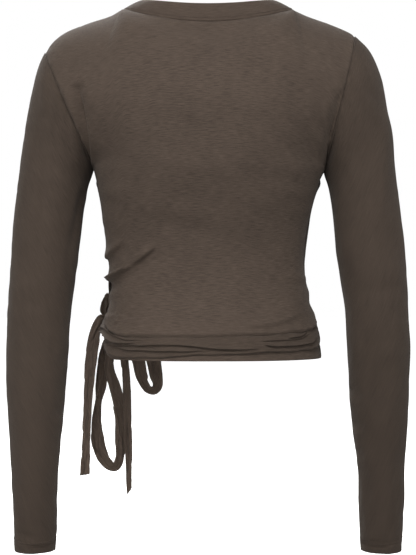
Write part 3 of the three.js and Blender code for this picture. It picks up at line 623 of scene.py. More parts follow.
# ---- Creases, as the camera sees them on the back, and from straight ahead on the front ----
CREASE = "x1 z1 x2 z2 x3 z3 height width open"
BACK_CREASES = table(CREASE, [
    (125, -336, 97, -318, 60, -290, 2.6, 7, 1), (127, -309, 116, -298, 102, -284, 2.2, 6, 1),
    (125, -356, 112, -352, 96, -346, 1.0, 6, 1), (-50, -394, -90, -390, -128, -368, 1.6, 6, 0),
    (-60, -386, -95, -376, -128, -352, 1.2, 7, 1), (-126, -338, -112, -334, -92, -330, 1.0, 6, 1),
    (167, -92, 160, -120, 143, -204, -5.6, 8.5, 0), (150, -210, 152, -160, 168, -118, 2.4, 8, 0),
    (-170, -98, -158, -140, -143, -202, -4.6, 6.5, 0), (-150, -216, -140, -178, -138, -140, 1.5, 9, 0),
    (-176, -97, -170, -102, -166, -108, -1.6, 3, 0), (136, -232, 112, -226, 80, -228, 1.0, 9, 0),
    (-136, -236, -106, -228, -72, -232, 0.9, 9, 0), (60, -262, 20, -250, -30, -254, 0.7, 14, 0)])
FRONT_CREASES = table(CREASE, [
    (121, -386, 84, -354, 34, -336, 3.4, 7, 1), (122, -374, 94, -336, 58, -300, 2.9, 6, 1),
    (121, -362, 108, -326, 92, -286, 2.2, 5, 1), (118, -398, 62, -388, -8, -374, 2.6, 7, 1),
    (112, -410, 60, -410, 10, -404, 1.8, 6, 1), (104, -372, 66, -346, 20, -322, -1.6, 5, 1),
    (-122, -388, -74, -374, -22, -370, 1.8, 8, 0), (-122, -350, -84, -332, -42, -326, 1.5, 8, 0),
    (-122, -318, -92, -296, -58, -286, 1.2, 8, 0), (-142, -204, -124, -168, -112, -124, -4.4, 8, 1),
    (142, -204, 126, -168, 116, -124, -4.4, 8, 1), (-132, -244, -94, -228, -52, -238, 1.5, 9, 0),
    (130, -240, 98, -226, 62, -234, 1.5, 9, 0), (-104, -40, -84, -84, -52, -132, 1.0, 8, 0),
    (104, -40, 84, -84, 54, -132, 1.0, 8, 0)])
ARM_BACK_CREASES = table(CREASE, [
    (-221, -119, -221, -212, -209, -331, 1.7, 9, 0), (-200, -150, -196, -230, -186, -300, -1.2, 9, 0),
    (154, -218, 163, -262, 178, -328, -2.4, 5.5, 0), (149, -212, 153, -250, 162, -300, 1.3, 5, 0),
    (-176, -468, -184, -481, -193, -488, -1.6, 6, 0), (-180, -512, -188, -521, -197, -526, -1.4, 6, 0),
    (-183, -548, -190, -556, -199, -561, -1.3, 6, 0), (176, -430, 185, -441, 195, -446, -1.3, 6, 0),
    (181, -498, 190, -507, 201, -511, -1.2, 6, 0), (241, -651, 226, -658, 211, -660, -1.5, 4, 0),
    (-189, -663, -215, -668, -242, -663, -1.2, 4, 0), (206, -74, 204, -108, 200, -142, 1.3, 7, 0),
    (190, -92, 189, -118, 185, -142, 1.0, 6, 0), (-242, -336, -220, -350, -192, -344, -1.0, 9, 0),
    (244, -352, 220, -368, 190, -362, -1.0, 9, 0), (-244, -420, -226, -432, -204, -430, 0.8, 9, 0),
    (246, -404, 230, -415, 206, -412, 0.8, 9, 0), (160, -136, 152, -166, 146, -200, -3.4, 8, 0),
    (-158, -140, -150, -170, -146, -200, -3.0, 8, 0), (232, -560, 228, -600, 222, -640, 0.8, 7, 0),
    (-228, -540, -226, -590, -220, -640, 0.8, 7, 0)])
ARM_FRONT_CREASES = table(CREASE, [
    (-204, -112, -208, -180, -202, -262, 1.5, 9, 0), (204, -118, 208, -184, 204, -258, 1.5, 9, 0),
    (-236, -352, -214, -372, -184, -364, -2.2, 7, 0), (-240, -388, -216, -398, -186, -388, -2.0, 7, 0),
    (-236, -322, -216, -340, -186, -338, -1.5, 7, 0), (238, -356, 216, -374, 186, -366, -2.2, 7, 0),
    (240, -392, 218, -402, 188, -392, -2.0, 7, 0), (236, -326, 216, -344, 186, -340, -1.5, 7, 0),
    (-192, -600, -212, -612, -236, -606, -1.2, 6, 0), (192, -588, 212, -600, 236, -594, -1.2, 6, 0),
    (-160, -132, -152, -164, -146, -200, -3.6, 8, 0), (160, -132, 152, -164, 146, -200, -3.6, 8, 0)])

# Folds of the back, and of the wound sash: height, width, 1 if open at the start, and points
BACK_FOLDS = [
    (1.7, 2.4, 1, [(124, -309), (115, -300), (104, -288)]),
    (3.2, 3.0, 1, [(124, -341), (110, -328.5), (91, -317.5), (73, -303), (62, -294)]),
    (1.5, 1.4, 1, [(127, -338), (120, -332.5), (112, -327.5)]),
    (2.3, 1.4, 0, [(118, -381), (110, -383.8), (97, -385)]),
    (2.2, 1.4, 1, [(122, -387.5), (115, -389.6), (108, -391.5)]),
    (1.3, 2.2, 0, [(-40, -397), (-65, -396.5), (-84, -394), (-103, -387), (-122, -376)]),
    (0.8, 4, 0, [(-20, -392), (-46, -385), (-72, -381), (-104, -372)]),
    (3.4, 3.2, 0, [(144, -212), (146, -184), (149, -160), (154, -137), (160, -112), (165, -94)]),
    (2.4, 2.6, 0, [(-143, -210), (-149, -180), (-156, -150), (-163, -124), (-169, -100)]),
    (0.9, 1.5, 0, [(-176, -98), (-171, -102), (-167, -110)]),
    (-3.0, 2.0, 1, [(128.5, -337.5), (121, -331), (110, -324.4), (97.5, -320), (81, -315)]),
    (-2.2, 1.6, 1, [(119, -381), (110, -383), (97.5, -385), (72.5, -387.5)]),
    (-2.0, 1.4, 1, [(120, -388), (116, -389), (111, -390)])]
SASH_FOLDS = [
    (3.9, 1.1, 1, [(131.5, -397), (122.5, -410), (113.8, -415.6), (97.5, -416.3), (80, -415.4)]),
    (3.2, 1.1, 1, [(114, -419.2), (85, -419.4), (47.5, -418.8), (22.5, -420), (3.8, -422.5),
     (-27.5, -424.4), (-52.5, -424.1), (-72, -423.5)]),
    (3.0, 1.1, 1, [(131.5, -403.8), (120, -415), (105, -423.8), (85, -425.6), (47.5, -426.6),
     (16.3, -426.9), (-12, -424.6)]),
    (3.0, 1.1, 0, [(-66, -417.8), (-78.8, -420.4), (-92.5, -420), (-115, -418.5), (-127.5, -415),
     (-135, -407)]),
    (2.4, 1.0, 0, [(-94, -411.5), (-112.5, -407.5), (-122.5, -401.3), (-131, -391)]),
    (2.0, 1.0, 1, [(128, -396), (117, -406), (100, -412), (78, -412.5)]),
    (1.7, 1.0, 0, [(-60, -413.5), (-88, -413), (-112, -411), (-130, -402)])]
SASH_BLOUSE = {"height": 5.4, "rise": 1.3, "fade": 18}


def blouse(across, point):
    """The back hangs a little over the sash's upper edge."""
    above = point[..., 2] - column(SASH, "turn", "top", 90 * (across + 1))
    reach = SASH_BLOUSE["height"] * smooth(above / SASH_BLOUSE["rise"]) * np.exp(-above / SASH_BLOUSE["fade"])
    return np.where(above > 0, reach, 0) * smooth((1 - np.abs(across)) / 0.12)


HEM = {"thick": 0.5, "fade": 2, "pull": 0.35, "pull_width": 1.3}
SEAM_DIP = {"depth": 1.5, "width": 2.2}
PUCKER = {"height": 0.35, "length": 14, "reach": 9, "waves": 4}
NECK_DIP = {"depth": 1.3, "width": 2.2}
BODY_WAVES = ((0.55, 85, 3), (0.22, 30, 8))  # height, length and seed
SLEEVE_WAVES = ((0.7, 95, 31), (0.25, 34, 36))


def hem_relief(distance):
    """The turned hem is two layers thick up to its stitches, which pull a shallow line into the cloth."""
    beyond = distance - HEM_DEPTH
    pull = HEM["pull"] * np.exp(-((beyond + HEM["fade"]) / HEM["pull_width"]) ** 2)
    return HEM["thick"] * (1 - smooth(beyond / HEM["fade"])) - pull


def seam_relief(distance, run, seed):
    """Cloth dips into a seam and puckers a little beside it."""
    level = np.stack([run, 0 * run], axis=-1)
    pucker = PUCKER["height"] * ripple(level, PUCKER["length"], seed, PUCKER["waves"])
    dip = SEAM_DIP["depth"] * np.exp(-(distance / SEAM_DIP["width"]) ** 2)
    return pucker * np.exp(-(distance / PUCKER["reach"]) ** 2) - dip


# Small bulges down the right side seam, above the sash: z, height and reach
BULGES = [(-353, 1.6, 6), (-367, -2.2, 6), (-380, 1.2, 5)]


def side_bulge(across, beside, z):
    total = np.zeros(np.shape(z))
    for at, height, width in BULGES:
        total = total + height * np.exp(-((z - at) / width) ** 2)
    return np.where(across < 0, total * np.exp(-(beside / 26) ** 2), 0)


NECK_LENGTH = 160  # turns a share near the neck into a length along the cloth
FAR = 99


def body_relief(face, across, share, point):
    if face > 0:
        where = seen(point)
        total = creases(BACK_CREASES, where) + steps(BACK_FOLDS, where) + blouse(across, point)
    else:
        where = flat(point)
        total = creases(FRONT_CREASES, where)
    for height, length, seed in BODY_WAVES:
        total = total + height * ripple(where, length, seed + face)
    beside = (1 - np.abs(across)) * SIDE_TO_MIDDLE
    total = total * smooth(beside / 9 + 0.15)
    if face > 0:
        neck_gap = np.where(np.abs(across) < NECK_COLUMN, (1 - share) * NECK_LENGTH, FAR)
        total = total - NECK_DIP["depth"] * np.exp(-(neck_gap / NECK_DIP["width"]) ** 2)
    total = total + hem_relief(point[..., 2] - hem_z(across))
    total = total + side_bulge(across, beside, point[..., 2])
    return total + seam_relief(beside, point[..., 2], 21 + face)


def rows_of(count, dense=26, share=0.05):
    """Row places from 0 to 1, closer together at the hem."""
    return np.concatenate([np.linspace(0, share, dense, endpoint=False), np.linspace(share, 1, count)])


def surface(face, across, share, own=1):
    """Points of a panel's outer face with its folds, and the outward direction there."""
    across, share = np.broadcast_arrays(np.asarray(across, float), np.asarray(share, float))
    point = bare_point(face, across, share)
    lift = body_relief(face, across, share, point)
    if face < 0:
        lift = lift + over_lift(own, across, point[..., 2])
    normal = body_normal(face, across, share)
    return point + normal * lift[..., None], normal


def back_panel():
    share, across = np.meshgrid(rows_of(195), np.linspace(-1, 1, 185), indexing="ij")
    outer, _ = surface(1, across, share)
    return cloth_piece("back_panel", outer, BODY, np.array([0, 1.0, 0]), nodes=["back"])


def wrap_share(own, across):
    """Height share at which a column of a front meets its wrap edge."""
    low, high = np.zeros_like(across), np.ones_like(across)
    for _ in range(30):
        middle = (low + high) / 2
        point = bare_point(-1, across, middle)
        above = point[..., 2] > column(WRAP_EDGE, "across", "z", -own * point[..., 0])
        low, high = np.where(above, low, middle), np.where(above, middle, high)
    return np.where(own * across >= NECK_COLUMN, 1.0, high)


def over_lift(own, across, z):
    if own > 0:
        return np.zeros_like(z)
    fade = 1 - smooth((z - OVER_TOP["z"]) / OVER_TOP["fade"])
    return LAYER * smooth((1 - own * across) / OVER_RISE) * fade


def front_panel(own, name, node_name):
    across = -own * np.linspace(-1, WRAP_END[own], 176)
    share = rows_of(145)[:, None] * wrap_share(own, across)[None, :]
    outer, _ = surface(-1, across, share, own)
    return cloth_piece(name, outer, BODY, np.array([0, -1.0, 0]), nodes=[node_name])


# ---- Sleeves ----
LEAN_STEP = 20
ARM_AROUND = 42  # radius that turns an angle round the sleeve into a length
RING_HEIGHT = 19
ARM_MIDDLE = (200, -400.0)  # x and z
SLEEVE_COLUMNS = 150


def sleeve_point(side, angle, ring):
    """A sleeve's rings fan out from the armhole (0) and then run down the arm to the cuff."""
    a, sign = ARMHOLE[side], SIGN[side]
    fan = np.minimum(1, ring / FAN_RINGS)
    down = np.maximum(0, (ring - FAN_RINGS) / (SLEEVE_RINGS - FAN_RINGS))
    outer_z = lerp(lerp(a["z"], SLEEVE_START["outer"], fan ** 1.5), CUFF_Z, down)
    inner_z = lerp(lerp(UNDERARM_Z, SLEEVE_START["inner"], fan ** 2), CUFF_Z, down)
    under_x = column(TRUNK, "z", side, UNDERARM_Z)
    tip_miss = a["x"] - column(SLEEVE, "z", "outer", a["z"])
    outer_x = column(SLEEVE, "z", "outer", outer_z) + tip_miss * (1 - fan)
    inner_x = lerp(under_x, column(SLEEVE, "z", "inner", inner_z), smooth(fan * 1.5))
    y = lerp(a["y"], column(SLEEVE, "z", "y", outer_z), fan)
    slope = (column(SLEEVE, "z", "y", outer_z) - column(SLEEVE, "z", "y", outer_z - LEAN_STEP)) / LEAN_STEP
    lean = np.where(down > 0, slope, 0)
    rise = (1 + np.cos(angle)) / 2
    seam_depth = np.where(np.sin(angle) > 0, a["back"], a["front"])
    offset = lerp(seam_depth, column(SLEEVE, "z", "depth", outer_z), smooth(fan * 1.4)) * np.sin(angle)
    return vec(sign * lerp(inner_x, outer_x, rise),
               lerp(lerp(SIDE_Y, a["y"], rise), y, smooth(fan)) + offset,
               lerp(inner_z, outer_z, rise) - lean * offset)


def sleeve_piece(side):
    ring = SLEEVE_RINGS * (1 - rows_of(190, 26, 0.028)[::-1])
    ring, angle = np.meshgrid(ring, np.linspace(0, 2 * np.pi, SLEEVE_COLUMNS, endpoint=False),
                              indexing="ij")
    base = sleeve_point(side, angle, ring)
    normal = grid_normals(sleeve_point(side, angle, np.maximum(ring, 0.15)), True)
    middle = np.array([SIGN[side] * ARM_MIDDLE[0], 0, ARM_MIDDLE[1]])
    if np.sum(normal[150] * (base[150] - middle) * np.array([1, 1, 0])) < 0:
        normal = -normal
    to_back = smooth(np.sin(angle) * 2.2 + 0.5)
    relief = creases(ARM_BACK_CREASES, seen(base)) * to_back
    relief = relief + creases(ARM_FRONT_CREASES, flat(base)) * (1 - to_back)
    around = np.stack([angle * ARM_AROUND, base[..., 2]], axis=-1)
    wave = sum(height * ripple(around, length, seed + SIGN[side]) for height, length, seed in SLEEVE_WAVES)
    relief = relief + wave * smooth((ring - 0.3) / 2)
    relief = relief + seam_relief(ring * RING_HEIGHT, angle * 60, 41 + SIGN[side])
    relief = relief + hem_relief((SLEEVE_RINGS - ring) / (SLEEVE_RINGS - FAN_RINGS) * ARM_LENGTH)
    outer = base + normal * relief[..., None]
    # The sleeve wears the darker copy of the jersey, painted shade.
    return cloth_piece(f"sleeve_{side}_cloth", outer, SHADED_JERSEY, normal, tube=True, nodes=[f"sleeve_{side}"])


# ---- Neckband ----
BAND_PUFF = 0.9
BAND_START = 0.4  # a front neckband starts this far behind the neck point
NEAR_TOP = 0.97


def puffed(outer, up, height):
    """A doubled strip is a little rounder between its seam and its fold."""
    normal = grid_normals(outer, False)
    away = outer - np.array([0, SIDE_Y, 0])
    if np.sum(normal * away * np.array([1, 1, 0])) < 0:
        normal = -normal
    return outer + normal * (height * np.sin(np.pi * np.clip(up, 0, 1)) ** 0.7)[..., None]


def neck_band(across):
    """The seam and the upper edge of the neckband round the back neck."""
    angle = np.abs(across) / NECK_COLUMN * np.pi / 2
    top = vec(np.sign(across) * BAND_SIDE[0] * np.sin(angle), lerp(BAND_SIDE[1], BAND_BACK[1], np.cos(angle)),
              lerp(BAND_SIDE[2], BAND_BACK[2], np.cos(angle) ** 2))
    return top_point(1, across), top


def back_band():
    up, across = np.meshgrid(np.linspace(-0.06, 1, 14), np.linspace(-1, 1, 181) * NECK_COLUMN, indexing="ij")
    plain = lerp(*neck_band(across), up[..., None])
    ease = 0.25 * ripple(np.stack([across * 250, up * 20], axis=-1), 26, 51)
    outer = puffed(plain, up, BAND_PUFF)
    outer = outer + (outer - plain) * ease[..., None]
    return cloth_piece("neckband_back_strip", outer, BANDS, outer - np.array([0, SIDE_Y, -60]), 1.5,
                       nodes=["neckband_back"])


def step_on_front(across, share, direction, distance):
    """Where a step along the front's surface ends, as a place across and a share of the height."""
    e = TINY
    here = bare_point(-1, across, share)
    du = (bare_point(-1, across + e, share) - here) / e
    dv = (bare_point(-1, across, share - e) - here) / -e
    uu, uv, vv = [np.sum(a * b, axis=-1) for a, b in ((du, du), (du, dv), (dv, dv))]
    bu, bv = np.sum(du * direction, axis=-1) * distance, np.sum(dv * direction, axis=-1) * distance
    det = uu * vv - uv * uv
    return across + (bu * vv - bv * uv) / det, share + (bv * uu - bu * uv) / det


def wrap_band(own, name, node_name):
    """The neckband along a front's wrap edge, from the shoulder to the far side."""
    across = -own * np.linspace(-NECK_COLUMN * 0.998, WRAP_END[own], 230)
    share = wrap_share(own, across)
    ahead_across = across - own * 0.01
    ahead = bare_point(-1, ahead_across, wrap_share(own, ahead_across))
    seam_bare = bare_point(-1, across, share)
    tangent = unit(ahead - seam_bare)
    up = unit(np.cross(body_normal(-1, across, share), tangent))
    up = np.where((up @ np.array([-own, 0, 0.6]))[:, None] < 0, -up, up)
    seam = body_point(-1, across, share, over_lift(own, across, seam_bare[:, 2]))
    neck, side = [np.array([own * x, y, z]) for x, y, z in (NECK, BAND_SIDE)]
    behind = np.array([0, BAND_START, 0])
    seam[0] = neck + behind
    near = 1 - smooth(np.linalg.norm(seam - neck, axis=-1) / BAND_BLEND)
    rows, ups = [], np.linspace(-0.04, 1, 14)
    for part in ups:
        distance = BAND_WIDTH * part
        u, v = step_on_front(across, np.minimum(share, NEAR_TOP), up, distance)
        on_body = body_point(-1, u, v, over_lift(own, u, bare_point(-1, u, v)[:, 2]))
        on_body = np.where((share > NEAR_TOP)[:, None], seam + up * distance, on_body)
        rows.append(lerp(on_body, seam + (side + behind - seam[0]) * part, near[:, None]))
    outer = np.stack(rows)
    ups = np.broadcast_to(ups[:, None], outer.shape[:2])
    outer = puffed(outer, ups, BAND_PUFF)
    return cloth_piece(name, outer, BANDS, outer - np.array([0, SIDE_Y, -200]), 1.4, nodes=[node_name])


# ---- Sash, wound round the back in lengthwise folds ----
SASH_PUFF = 3.2
SASH_TO_FRONT = {"turn": 172, "fade": 12}  # there the sash passes over the front
TURN_LENGTH = 2.3  # cloth to a degree of turn


def sash():
    """The gathered tie round the back. Width runs from its lower edge (0) to its upper edge (1)."""
    width, turn = np.meshgrid(np.linspace(0, 1, 61), np.linspace(*SASH["turn"][[0, -1]], 340), indexing="ij")
    top, bottom = column(SASH, "turn", "top", turn), column(SASH, "turn", "bottom", turn)
    z = lerp(bottom, top, width)
    run = turn * TURN_LENGTH
    puff = SASH_PUFF * (1 - np.maximum(0, 1 - width / 0.12) ** 2) ** 0.5 * (1 - 0.55 * width ** 2)
    height = puff * (1 - np.maximum(0, (width - 0.9) / 0.1) ** 2)
    height += steps(SASH_FOLDS, seen(turn_point(turn, z, 0 * turn)))
    lines = np.abs(ripple(np.stack([run * 0.14, width * 22], axis=-1), 8, 62, 9))
    height += 0.45 * (0.5 - lines) * np.sin(np.pi * width)
    lift = SASH_LIFT + LAYER * smooth((turn - SASH_TO_FRONT["turn"]) / SASH_TO_FRONT["fade"])
    outer = turn_point(turn, z, lift + 0.6 + np.maximum(height, 0.2))
    outer[..., 2] += 0.5 * ripple(np.stack([run, 0 * run], -1), 38, 63, 5) * (2 * width - 1)
    away = outer - np.array([0, SIDE_Y, 0])
    # The sash wears the darker copy of the jersey, painted shade.
    return cloth_piece("sash_wound", outer, SHADED_JERSEY, away * np.array([1, 1, 0]), 1.2, nodes=["sash_back"])


# ---- Ties. Facing is the direction that a tie's flat side looks in, in degrees from +X towards +Y. ----
TIE_WALL = 1.5
PLACE = "x y z width facing"
TAIL_OUTER = table(PLACE, [
    (129.4, -49.2, -389.5, 7, -45), (137, -40, -388, 11, -60), (142, -37, -400, 13, -75),
    (146.5, -36, -420, 14, -90), (149.5, -36, -443, 14, -90), (151, -36, -467, 11.5, -90),
    (153, -36, -506, 9.5, -90), (154.6, -36, -541, 9.8, -90), (157, -36, -585, 11.5, -90)])
ON_BODY = "turn z lift width facing"
TAIL_INNER_ROOT = table(ON_BODY, [(210.8, -399.8, 9, 5.5, -45), (216, -418, 8.5, 7.5, -55)])
TAIL_INNER = table(PLACE, [
    (108.6, -79, -437, 9.5, -75), (106.6, -79, -462, 9.5, -90), (105.4, -79, -495, 9.5, -90),
    (104.4, -79, -533, 9, -90), (103.5, -79, -572, 8, -90), (102.2, -79, -612, 7, -90)])
LONG_LOOP = table(PLACE, [
    (126.8, -54.6, -404.2, 5.5, -38), (133, -68, -421, 11, -60), (137, -83, -447, 14, -85),
    (139.8, -89, -474, 14.5, -90), (143, -90, -498, 8, -90), (145, -90, -520, 11, -90),
    (143.8, -90, -546, 17.5, -90), (139.5, -90, -563, 17, -90), (131, -89, -577, 13, -90),
    (121.5, -88, -581, 10, -90), (115.5, -87, -570, 11, -90), (112.8, -86, -546, 16, -90),
    (112.6, -85, -520, 15, -90), (115.9, -84, -498, 15, -90), (121.9, -79, -474, 14, -90),
    (127.6, -73, -452, 12, -85), (127.2, -66, -430, 10, -65), (122.6, -60.8, -404.2, 5.5, -38)])
FRONT_LOOP_OUT = table(ON_BODY, [(212, -394, 6.5, 6, -50), (221, -410, 6, 11, -58), (227, -428, 7, 15, -63)])
FRONT_LOOP = table(PLACE, [
    (91, -92, -444, 17, -75), (88, -96, -461, 15, -90), (83.5, -99, -474, 12, -90),
    (77, -101, -482, 9.5, -90), (69.5, -103, -482, 10, -90), (66, -104, -474, 12, -90),
    (68.5, -105, -461, 16, -90),
    (71.5, -104, -444, 17, -80)])
FRONT_LOOP_BACK = table(ON_BODY, [
    (238, -428, 8.5, 14, -72), (230, -409, 7.5, 9, -66), (211.3, -386, 7, 6, -50)])
SIDE_LOOP = table(PLACE, [
    (127.5, -49, -391, 10, 12), (130.5, -43, -387, 14, 32), (131.2, -35, -378, 17, 50),
    (129.4, -25, -368, 16, 56), (124.5, -14, -358, 12, 60)])
KNOT = {"turn": 206, "z": -392, "lift": 10.2, "thick": 6.6, "along": 10, "tall": 11.5}


def places(*tables):
    """Rows of one or more tables as points, widths and facings. Rows on the body are worked out from it."""
    points = []
    for tab in tables:
        if "turn" in tab:
            points.append(turn_point(tab["turn"], tab["z"], tab["lift"]))
        else:
            points.append(vec(tab["x"], tab["y"], tab["z"]))
    return (np.concatenate(points), np.concatenate([t["width"] for t in tables]),
            np.concatenate([t["facing"] for t in tables]))


def eased(values, t):
    """Values that are evenly shared along t, with an eased change from each to the next."""
    last = len(values) - 1
    at = t * last
    i = np.minimum(at.astype(int), last - 1)
    return lerp(values[i], values[i + 1], smooth(at - i))


def tie_folds(length, seed):
    """Lengthwise folds of a tie, which wander from side to side."""
    random = np.random.default_rng(seed)
    folds, start = [], -10.0
    while start < length:
        run, side, drift = random.uniform(28, 62), random.uniform(-5.5, 5.5), random.uniform(-6, 6)
        points = [(start + run * k / 3, side + drift * k / 3 + random.uniform(-0.6, 0.6)) for k in range(4)]
        height = random.uniform(1.3, 2.4) * random.choice([-1, 1])
        folds.append((height, random.uniform(0.8, 1.4), 0, points))
        start += random.uniform(7, 15)
    return folds


def tie(name, node_name, tables, seed, rows=240, cols=25, curl=0.09, crease=0.05, slant=0.0):
    """A flat tie through the tables' places. Slant cuts its end askew, curl turns its edges back."""
    points, widths, facings = places(*tables)
    t = np.linspace(0, 1, rows)
    path = through(points, t)
    tangent = unit(through(points, np.minimum(t + 1e-3, 1)) - through(points, np.maximum(t - 1e-3, 0)))
    facing = np.radians(eased(facings, t))
    face = vec(np.cos(facing), np.sin(facing), 0 * t)
    face = unit(face - tangent * np.sum(face * tangent, axis=-1, keepdims=True))
    beside = np.cross(tangent, face)
    width = eased(widths, t)[:, None]
    s = np.linspace(-1, 1, cols)[None, :]
    run = run_along(path)[:, None]
    where = np.stack(np.broadcast_arrays(run * 0.22, s * 9), axis=-1)
    wave = ripple(where, 9, seed, 8)
    level = np.stack([run, 0 * run], -1)
    edge = ripple(level, 55, seed + 1, 4)
    height = TIE_WALL / 2 - curl * width * s * s + crease * width * (0.6 - np.abs(wave))
    height = height + 0.035 * width * s * ripple(level, 42, seed + 2, 4)
    where = np.stack(np.broadcast_arrays(run, s * width / 2), axis=-1)
    folds = steps(tie_folds(run[-1, 0], seed + 3), where)
    height = height + folds * np.minimum(1, width / 10) * (1 - s ** 6)
    out = path[:, None] + beside[:, None] * (s * width / 2 * (1 + 0.03 * edge))[..., None]
    out = out + tangent[:, None] * (slant * width / 2 * s * smooth((t[:, None] - 0.9) / 0.1))[..., None]
    outer = out + face[:, None] * height[..., None]
    # A tie wears the lighter copy of the jersey, painted light.
    return cloth_piece(name, outer, LIT_JERSEY, face[:, None], TIE_WALL, nodes=[node_name], run="along")


# Strips wrapped round the knot: the direction that each circles, its half width and how far it stands out
WRAPS = [((0.30, 0.92, 0.25), 0.42, 1.5), ((-0.55, 0.35, 0.76), 0.34, 2.2), ((0.86, -0.1, 0.5), 0.3, 1.2)]


def knot():
    """The ball of the knot, with strips of tie wrapped round it."""
    ball = bpy.data.meshes.new("ball")
    work = bmesh.new()
    bmesh.ops.create_icosphere(work, subdivisions=5, radius=1)
    work.to_mesh(ball)
    work.free()
    p = np.empty(len(ball.vertices) * 3)
    ball.vertices.foreach_get("co", p)
    p = p.reshape(-1, 3)
    centre = turn_point(KNOT["turn"], KNOT["z"], KNOT["lift"])
    outward = unit(centre - turn_point(KNOT["turn"], KNOT["z"], 0))
    up = np.array([0, 0, 1.0])
    beside = unit(np.cross(up, outward))
    height = np.zeros(len(p))
    for axis, wide, tall in WRAPS:
        off = (p @ unit(np.array(axis))) / wide
        strip = np.clip(1 - off ** 4, 0, 1) ** 0.5 * (tall - 0.25 * np.cos(off * 9))
        height = np.maximum(height, strip)
    height = height - 0.8 + 0.15 * ripple(p[:, :2] * 10 + p[:, 2:] * 4, 6, 71)
    grow = 1 + height / 10
    local = p * np.array([KNOT["along"], KNOT["tall"], KNOT["thick"]]) * grow[:, None]
    points = centre + local[:, :1] * beside + local[:, 1:2] * up + local[:, 2:] * outward
    ball.vertices.foreach_set("co", (points / 1000).astype(np.float32).ravel())
    # The knot wears the lighter copy of the jersey, painted light.
    return cloth_object("knot_wrapped", ball, p * 0.012, LIT_JERSEY, "knot")


# ---- Seams and stitches ----
ALLOWANCE = 1.9  # how far inside its seam a seam allowance lies
EDGE_STITCH = {"off": 2.6, "length": 400}  # beside a wrap edge, and the cloth up to it


def seams():
    """Seam allowances, which lie as a soft ridge just under the seams."""
    turn = np.linspace(0, 2 * np.pi, 240, endpoint=False)
    for side in ("left", "right"):
        loop = np.concatenate([armhole_point(side, 1, turn[:120]),
                               armhole_point(side, -1, 2 * np.pi - turn[120:])])
        inward = unit(np.array([SIGN[side] * 165.0, SIDE_Y, -125]) - loop)
        tube(f"seam_armhole_{side}", loop + inward * ALLOWANCE, 1.7, SEAM, closed=True)
        share = np.linspace(0.002, SIDE_SHARE, 160)
        line = side_point(side, 1, share) - np.array([SIGN[side] * ALLOWANCE, 0, 0])
        tube(f"seam_side_{side}", line, 1.6, SEAM)
    across = np.linspace(-1, 1, 200) * NECK_COLUMN
    tube("seam_neck", top_point(1, across) - body_normal(1, across, 0 * across + 0.99) * 1.6, 1.5, SEAM)


def hem_rows(face, across, own=1):
    return [surface(face, across, 0 * across + height / BODY_LENGTH, own) for height in HEM_STITCHES]


def all_stitches():
    stitches("stitches_hem_back", hem_rows(1, np.linspace(-0.985, 0.985, 500)))
    for own, name in ((1, "under"), (-1, "over")):
        rows = hem_rows(-1, -own * np.linspace(-0.985, WRAP_END[own] - 0.02, 400), own)
        across = -own * np.linspace(-NECK_COLUMN * 0.98, WRAP_END[own] - 0.01, 400)
        share = wrap_share(own, across) - EDGE_STITCH["off"] / EDGE_STITCH["length"]
        rows.append(surface(-1, across, share, own))
        stitches(f"stitches_front_{name}", rows)
    seam, top = neck_band(np.linspace(-0.97, 0.97, 260) * NECK_COLUMN)
    line = lerp(seam, top, 0.12)
    out = unit(np.cross(np.gradient(line, axis=0), top - seam))
    inside = np.array([0, 0, -60])
    out = np.where(np.sum(out * (line - inside), axis=-1, keepdims=True) < 0, -out, out)
    stitches("stitches_neck", [(line + out * 0.55, out)], pitch=2.6, length=1.9, width=0.5)
    turn = np.linspace(0, 2 * np.pi, 220)
    for side in ("left", "right"):
        rows = []
        for height in HEM_STITCHES:
            ring = SLEEVE_RINGS - height / ARM_LENGTH * (SLEEVE_RINGS - FAN_RINGS) + 0 * turn
            line = sleeve_point(side, turn, ring)
            out = unit(line - np.mean(line[:-1], axis=0))
            rows.append((line + out * 0.45, out))
        stitches(f"stitches_cuff_{side}", rows)


# ---- Stage: pale floor, soft light, and the camera straight behind the back ----
FLOOR = {"size": 14, "z": -0.74}
FLOOR_SHADER = {"Base Color": (0.88, 0.88, 0.88, 1), "Roughness": 0.95, "Emission Color": (1, 1, 1, 1),
                "Emission Strength": 0.62}
AMBIENT = 0.55
SENSOR = 36


def stage():
    floor = bpy.data.meshes.new("floor")
    size, z = FLOOR["size"], FLOOR["z"]
    floor.from_pydata([(-size, -size, z), (size, -size, z), (size, size, z), (-size, size, z)],
                      [], [(0, 1, 2, 3)])
    pale = bpy.data.materials.new("pale_floor")
    pale.use_nodes = True
    shader = pale.node_tree.nodes["Principled BSDF"]
    for key, value in FLOOR_SHADER.items():
        shader.inputs[key].default_value = value
    floor.materials.append(pale)
    obj = placed("floor", floor)
    obj.visible_diffuse = False
    obj.visible_glossy = False
    world = bpy.data.worlds.new("studio")
    world.use_nodes = True
    tree = world.node_tree
    soft = tree.nodes["Background"]
    soft.inputs["Color"].default_value = (1, 1, 1, 1)
    soft.inputs["Strength"].default_value = AMBIENT
    bright = node(tree, "ShaderNodeBackground", Color=(1, 1, 1, 1), Strength=1.0)
    path, mix = node(tree, "ShaderNodeLightPath"), node(tree, "ShaderNodeMixShader")
    tree.links.new(path.outputs["Is Camera Ray"], mix.inputs[0])
    tree.links.new(soft.outputs[0], mix.inputs[1])
    tree.links.new(bright.outputs[0], mix.inputs[2])
    tree.links.new(mix.outputs[0], tree.nodes["World Output"].inputs["Surface"])
    bpy.context.scene.world = world
    bpy.context.scene.view_settings.view_transform = "Standard"


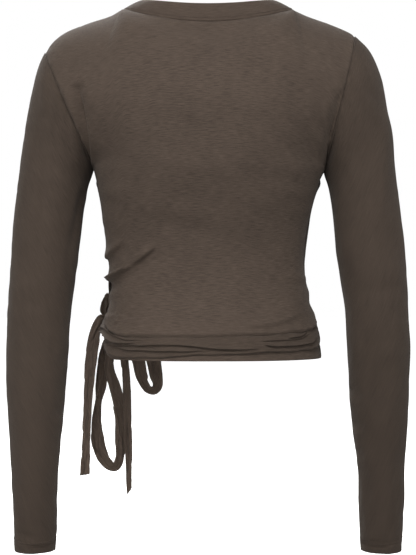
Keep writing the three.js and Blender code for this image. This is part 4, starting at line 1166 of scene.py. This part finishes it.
def lamp(kind, name, place, power, aim, **shape):
    data = bpy.data.lights.new(name, kind)
    data.energy = power
    for key, value in shape.items():
        setattr(data, key, value)
    obj = placed(name, data)
    obj.location = place
    obj.rotation_euler = (Vector(aim) - Vector(place)).to_track_quat("-Z", "Y").to_euler()


def camera():
    data = bpy.data.cameras.new("camera")
    data.sensor_width = SENSOR
    data.lens = SENSOR * VIEW_DISTANCE / VIEW_HEIGHT
    data.clip_end = 100
    obj = placed("camera", data)
    obj.location = (0, VIEW_DISTANCE / 1000, VIEW_Z / 1000)
    obj.rotation_euler = (math.pi / 2, 0, math.pi)
    bpy.context.scene.camera = obj


camera()
stage()
lamp("AREA", "key", (0.15, 1.6, 1.2), 43, (0, 0, -0.15), size=0.8)
for name, x in (("fill_left", 1.6), ("fill_right", -1.6)):
    lamp("AREA", name, (x, 1.3, 0.3), 20, (0, 0, -0.2), size=1.0)
lamp("AREA", "low", (0.5, 1.6, -0.5), 7, (0.1, 0, -0.45), size=0.7)
lamp("SPOT", "low_spot", (0.12, 1.5, -0.62), 75, (0.088, -0.06, -0.52), spot_size=math.radians(10.5),
     spot_blend=0.8, shadow_soft_size=0.15)
lamp("AREA", "front", (0.5, -1.6, 1.35), 62, (0, 0, -0.15), size=1.0)

back = back_panel()
under = front_panel(1, "front_under_cloth", "front_under")
over = front_panel(-1, "front_over_cloth", "front_over")
sleeves = [sleeve_piece("left"), sleeve_piece("right")]
bands = [back_band(), wrap_band(1, "neckband_under_strip", "neckband_under"),
         wrap_band(-1, "neckband_over_strip", "neckband_over")]
wound = sash()
knotted = knot()
outer_tail = tie("tail_outer_cloth", "tail_outer", [TAIL_OUTER], 101, slant=-0.25)
inner_tail = tie("tail_inner_cloth", "tail_inner", [TAIL_INNER_ROOT, TAIL_INNER], 111, slant=-1.2)
long_loop = tie("long_loop_cloth", "long_loop", [LONG_LOOP], 121, rows=420)
front_loop = tie("front_loop_cloth", "front_loop", [FRONT_LOOP_OUT, FRONT_LOOP, FRONT_LOOP_BACK], 131,
                 rows=320)
side_loop = tie("side_loop_cloth", "side_loop", [SIDE_LOOP], 141, rows=120)
seams()
all_stitches()
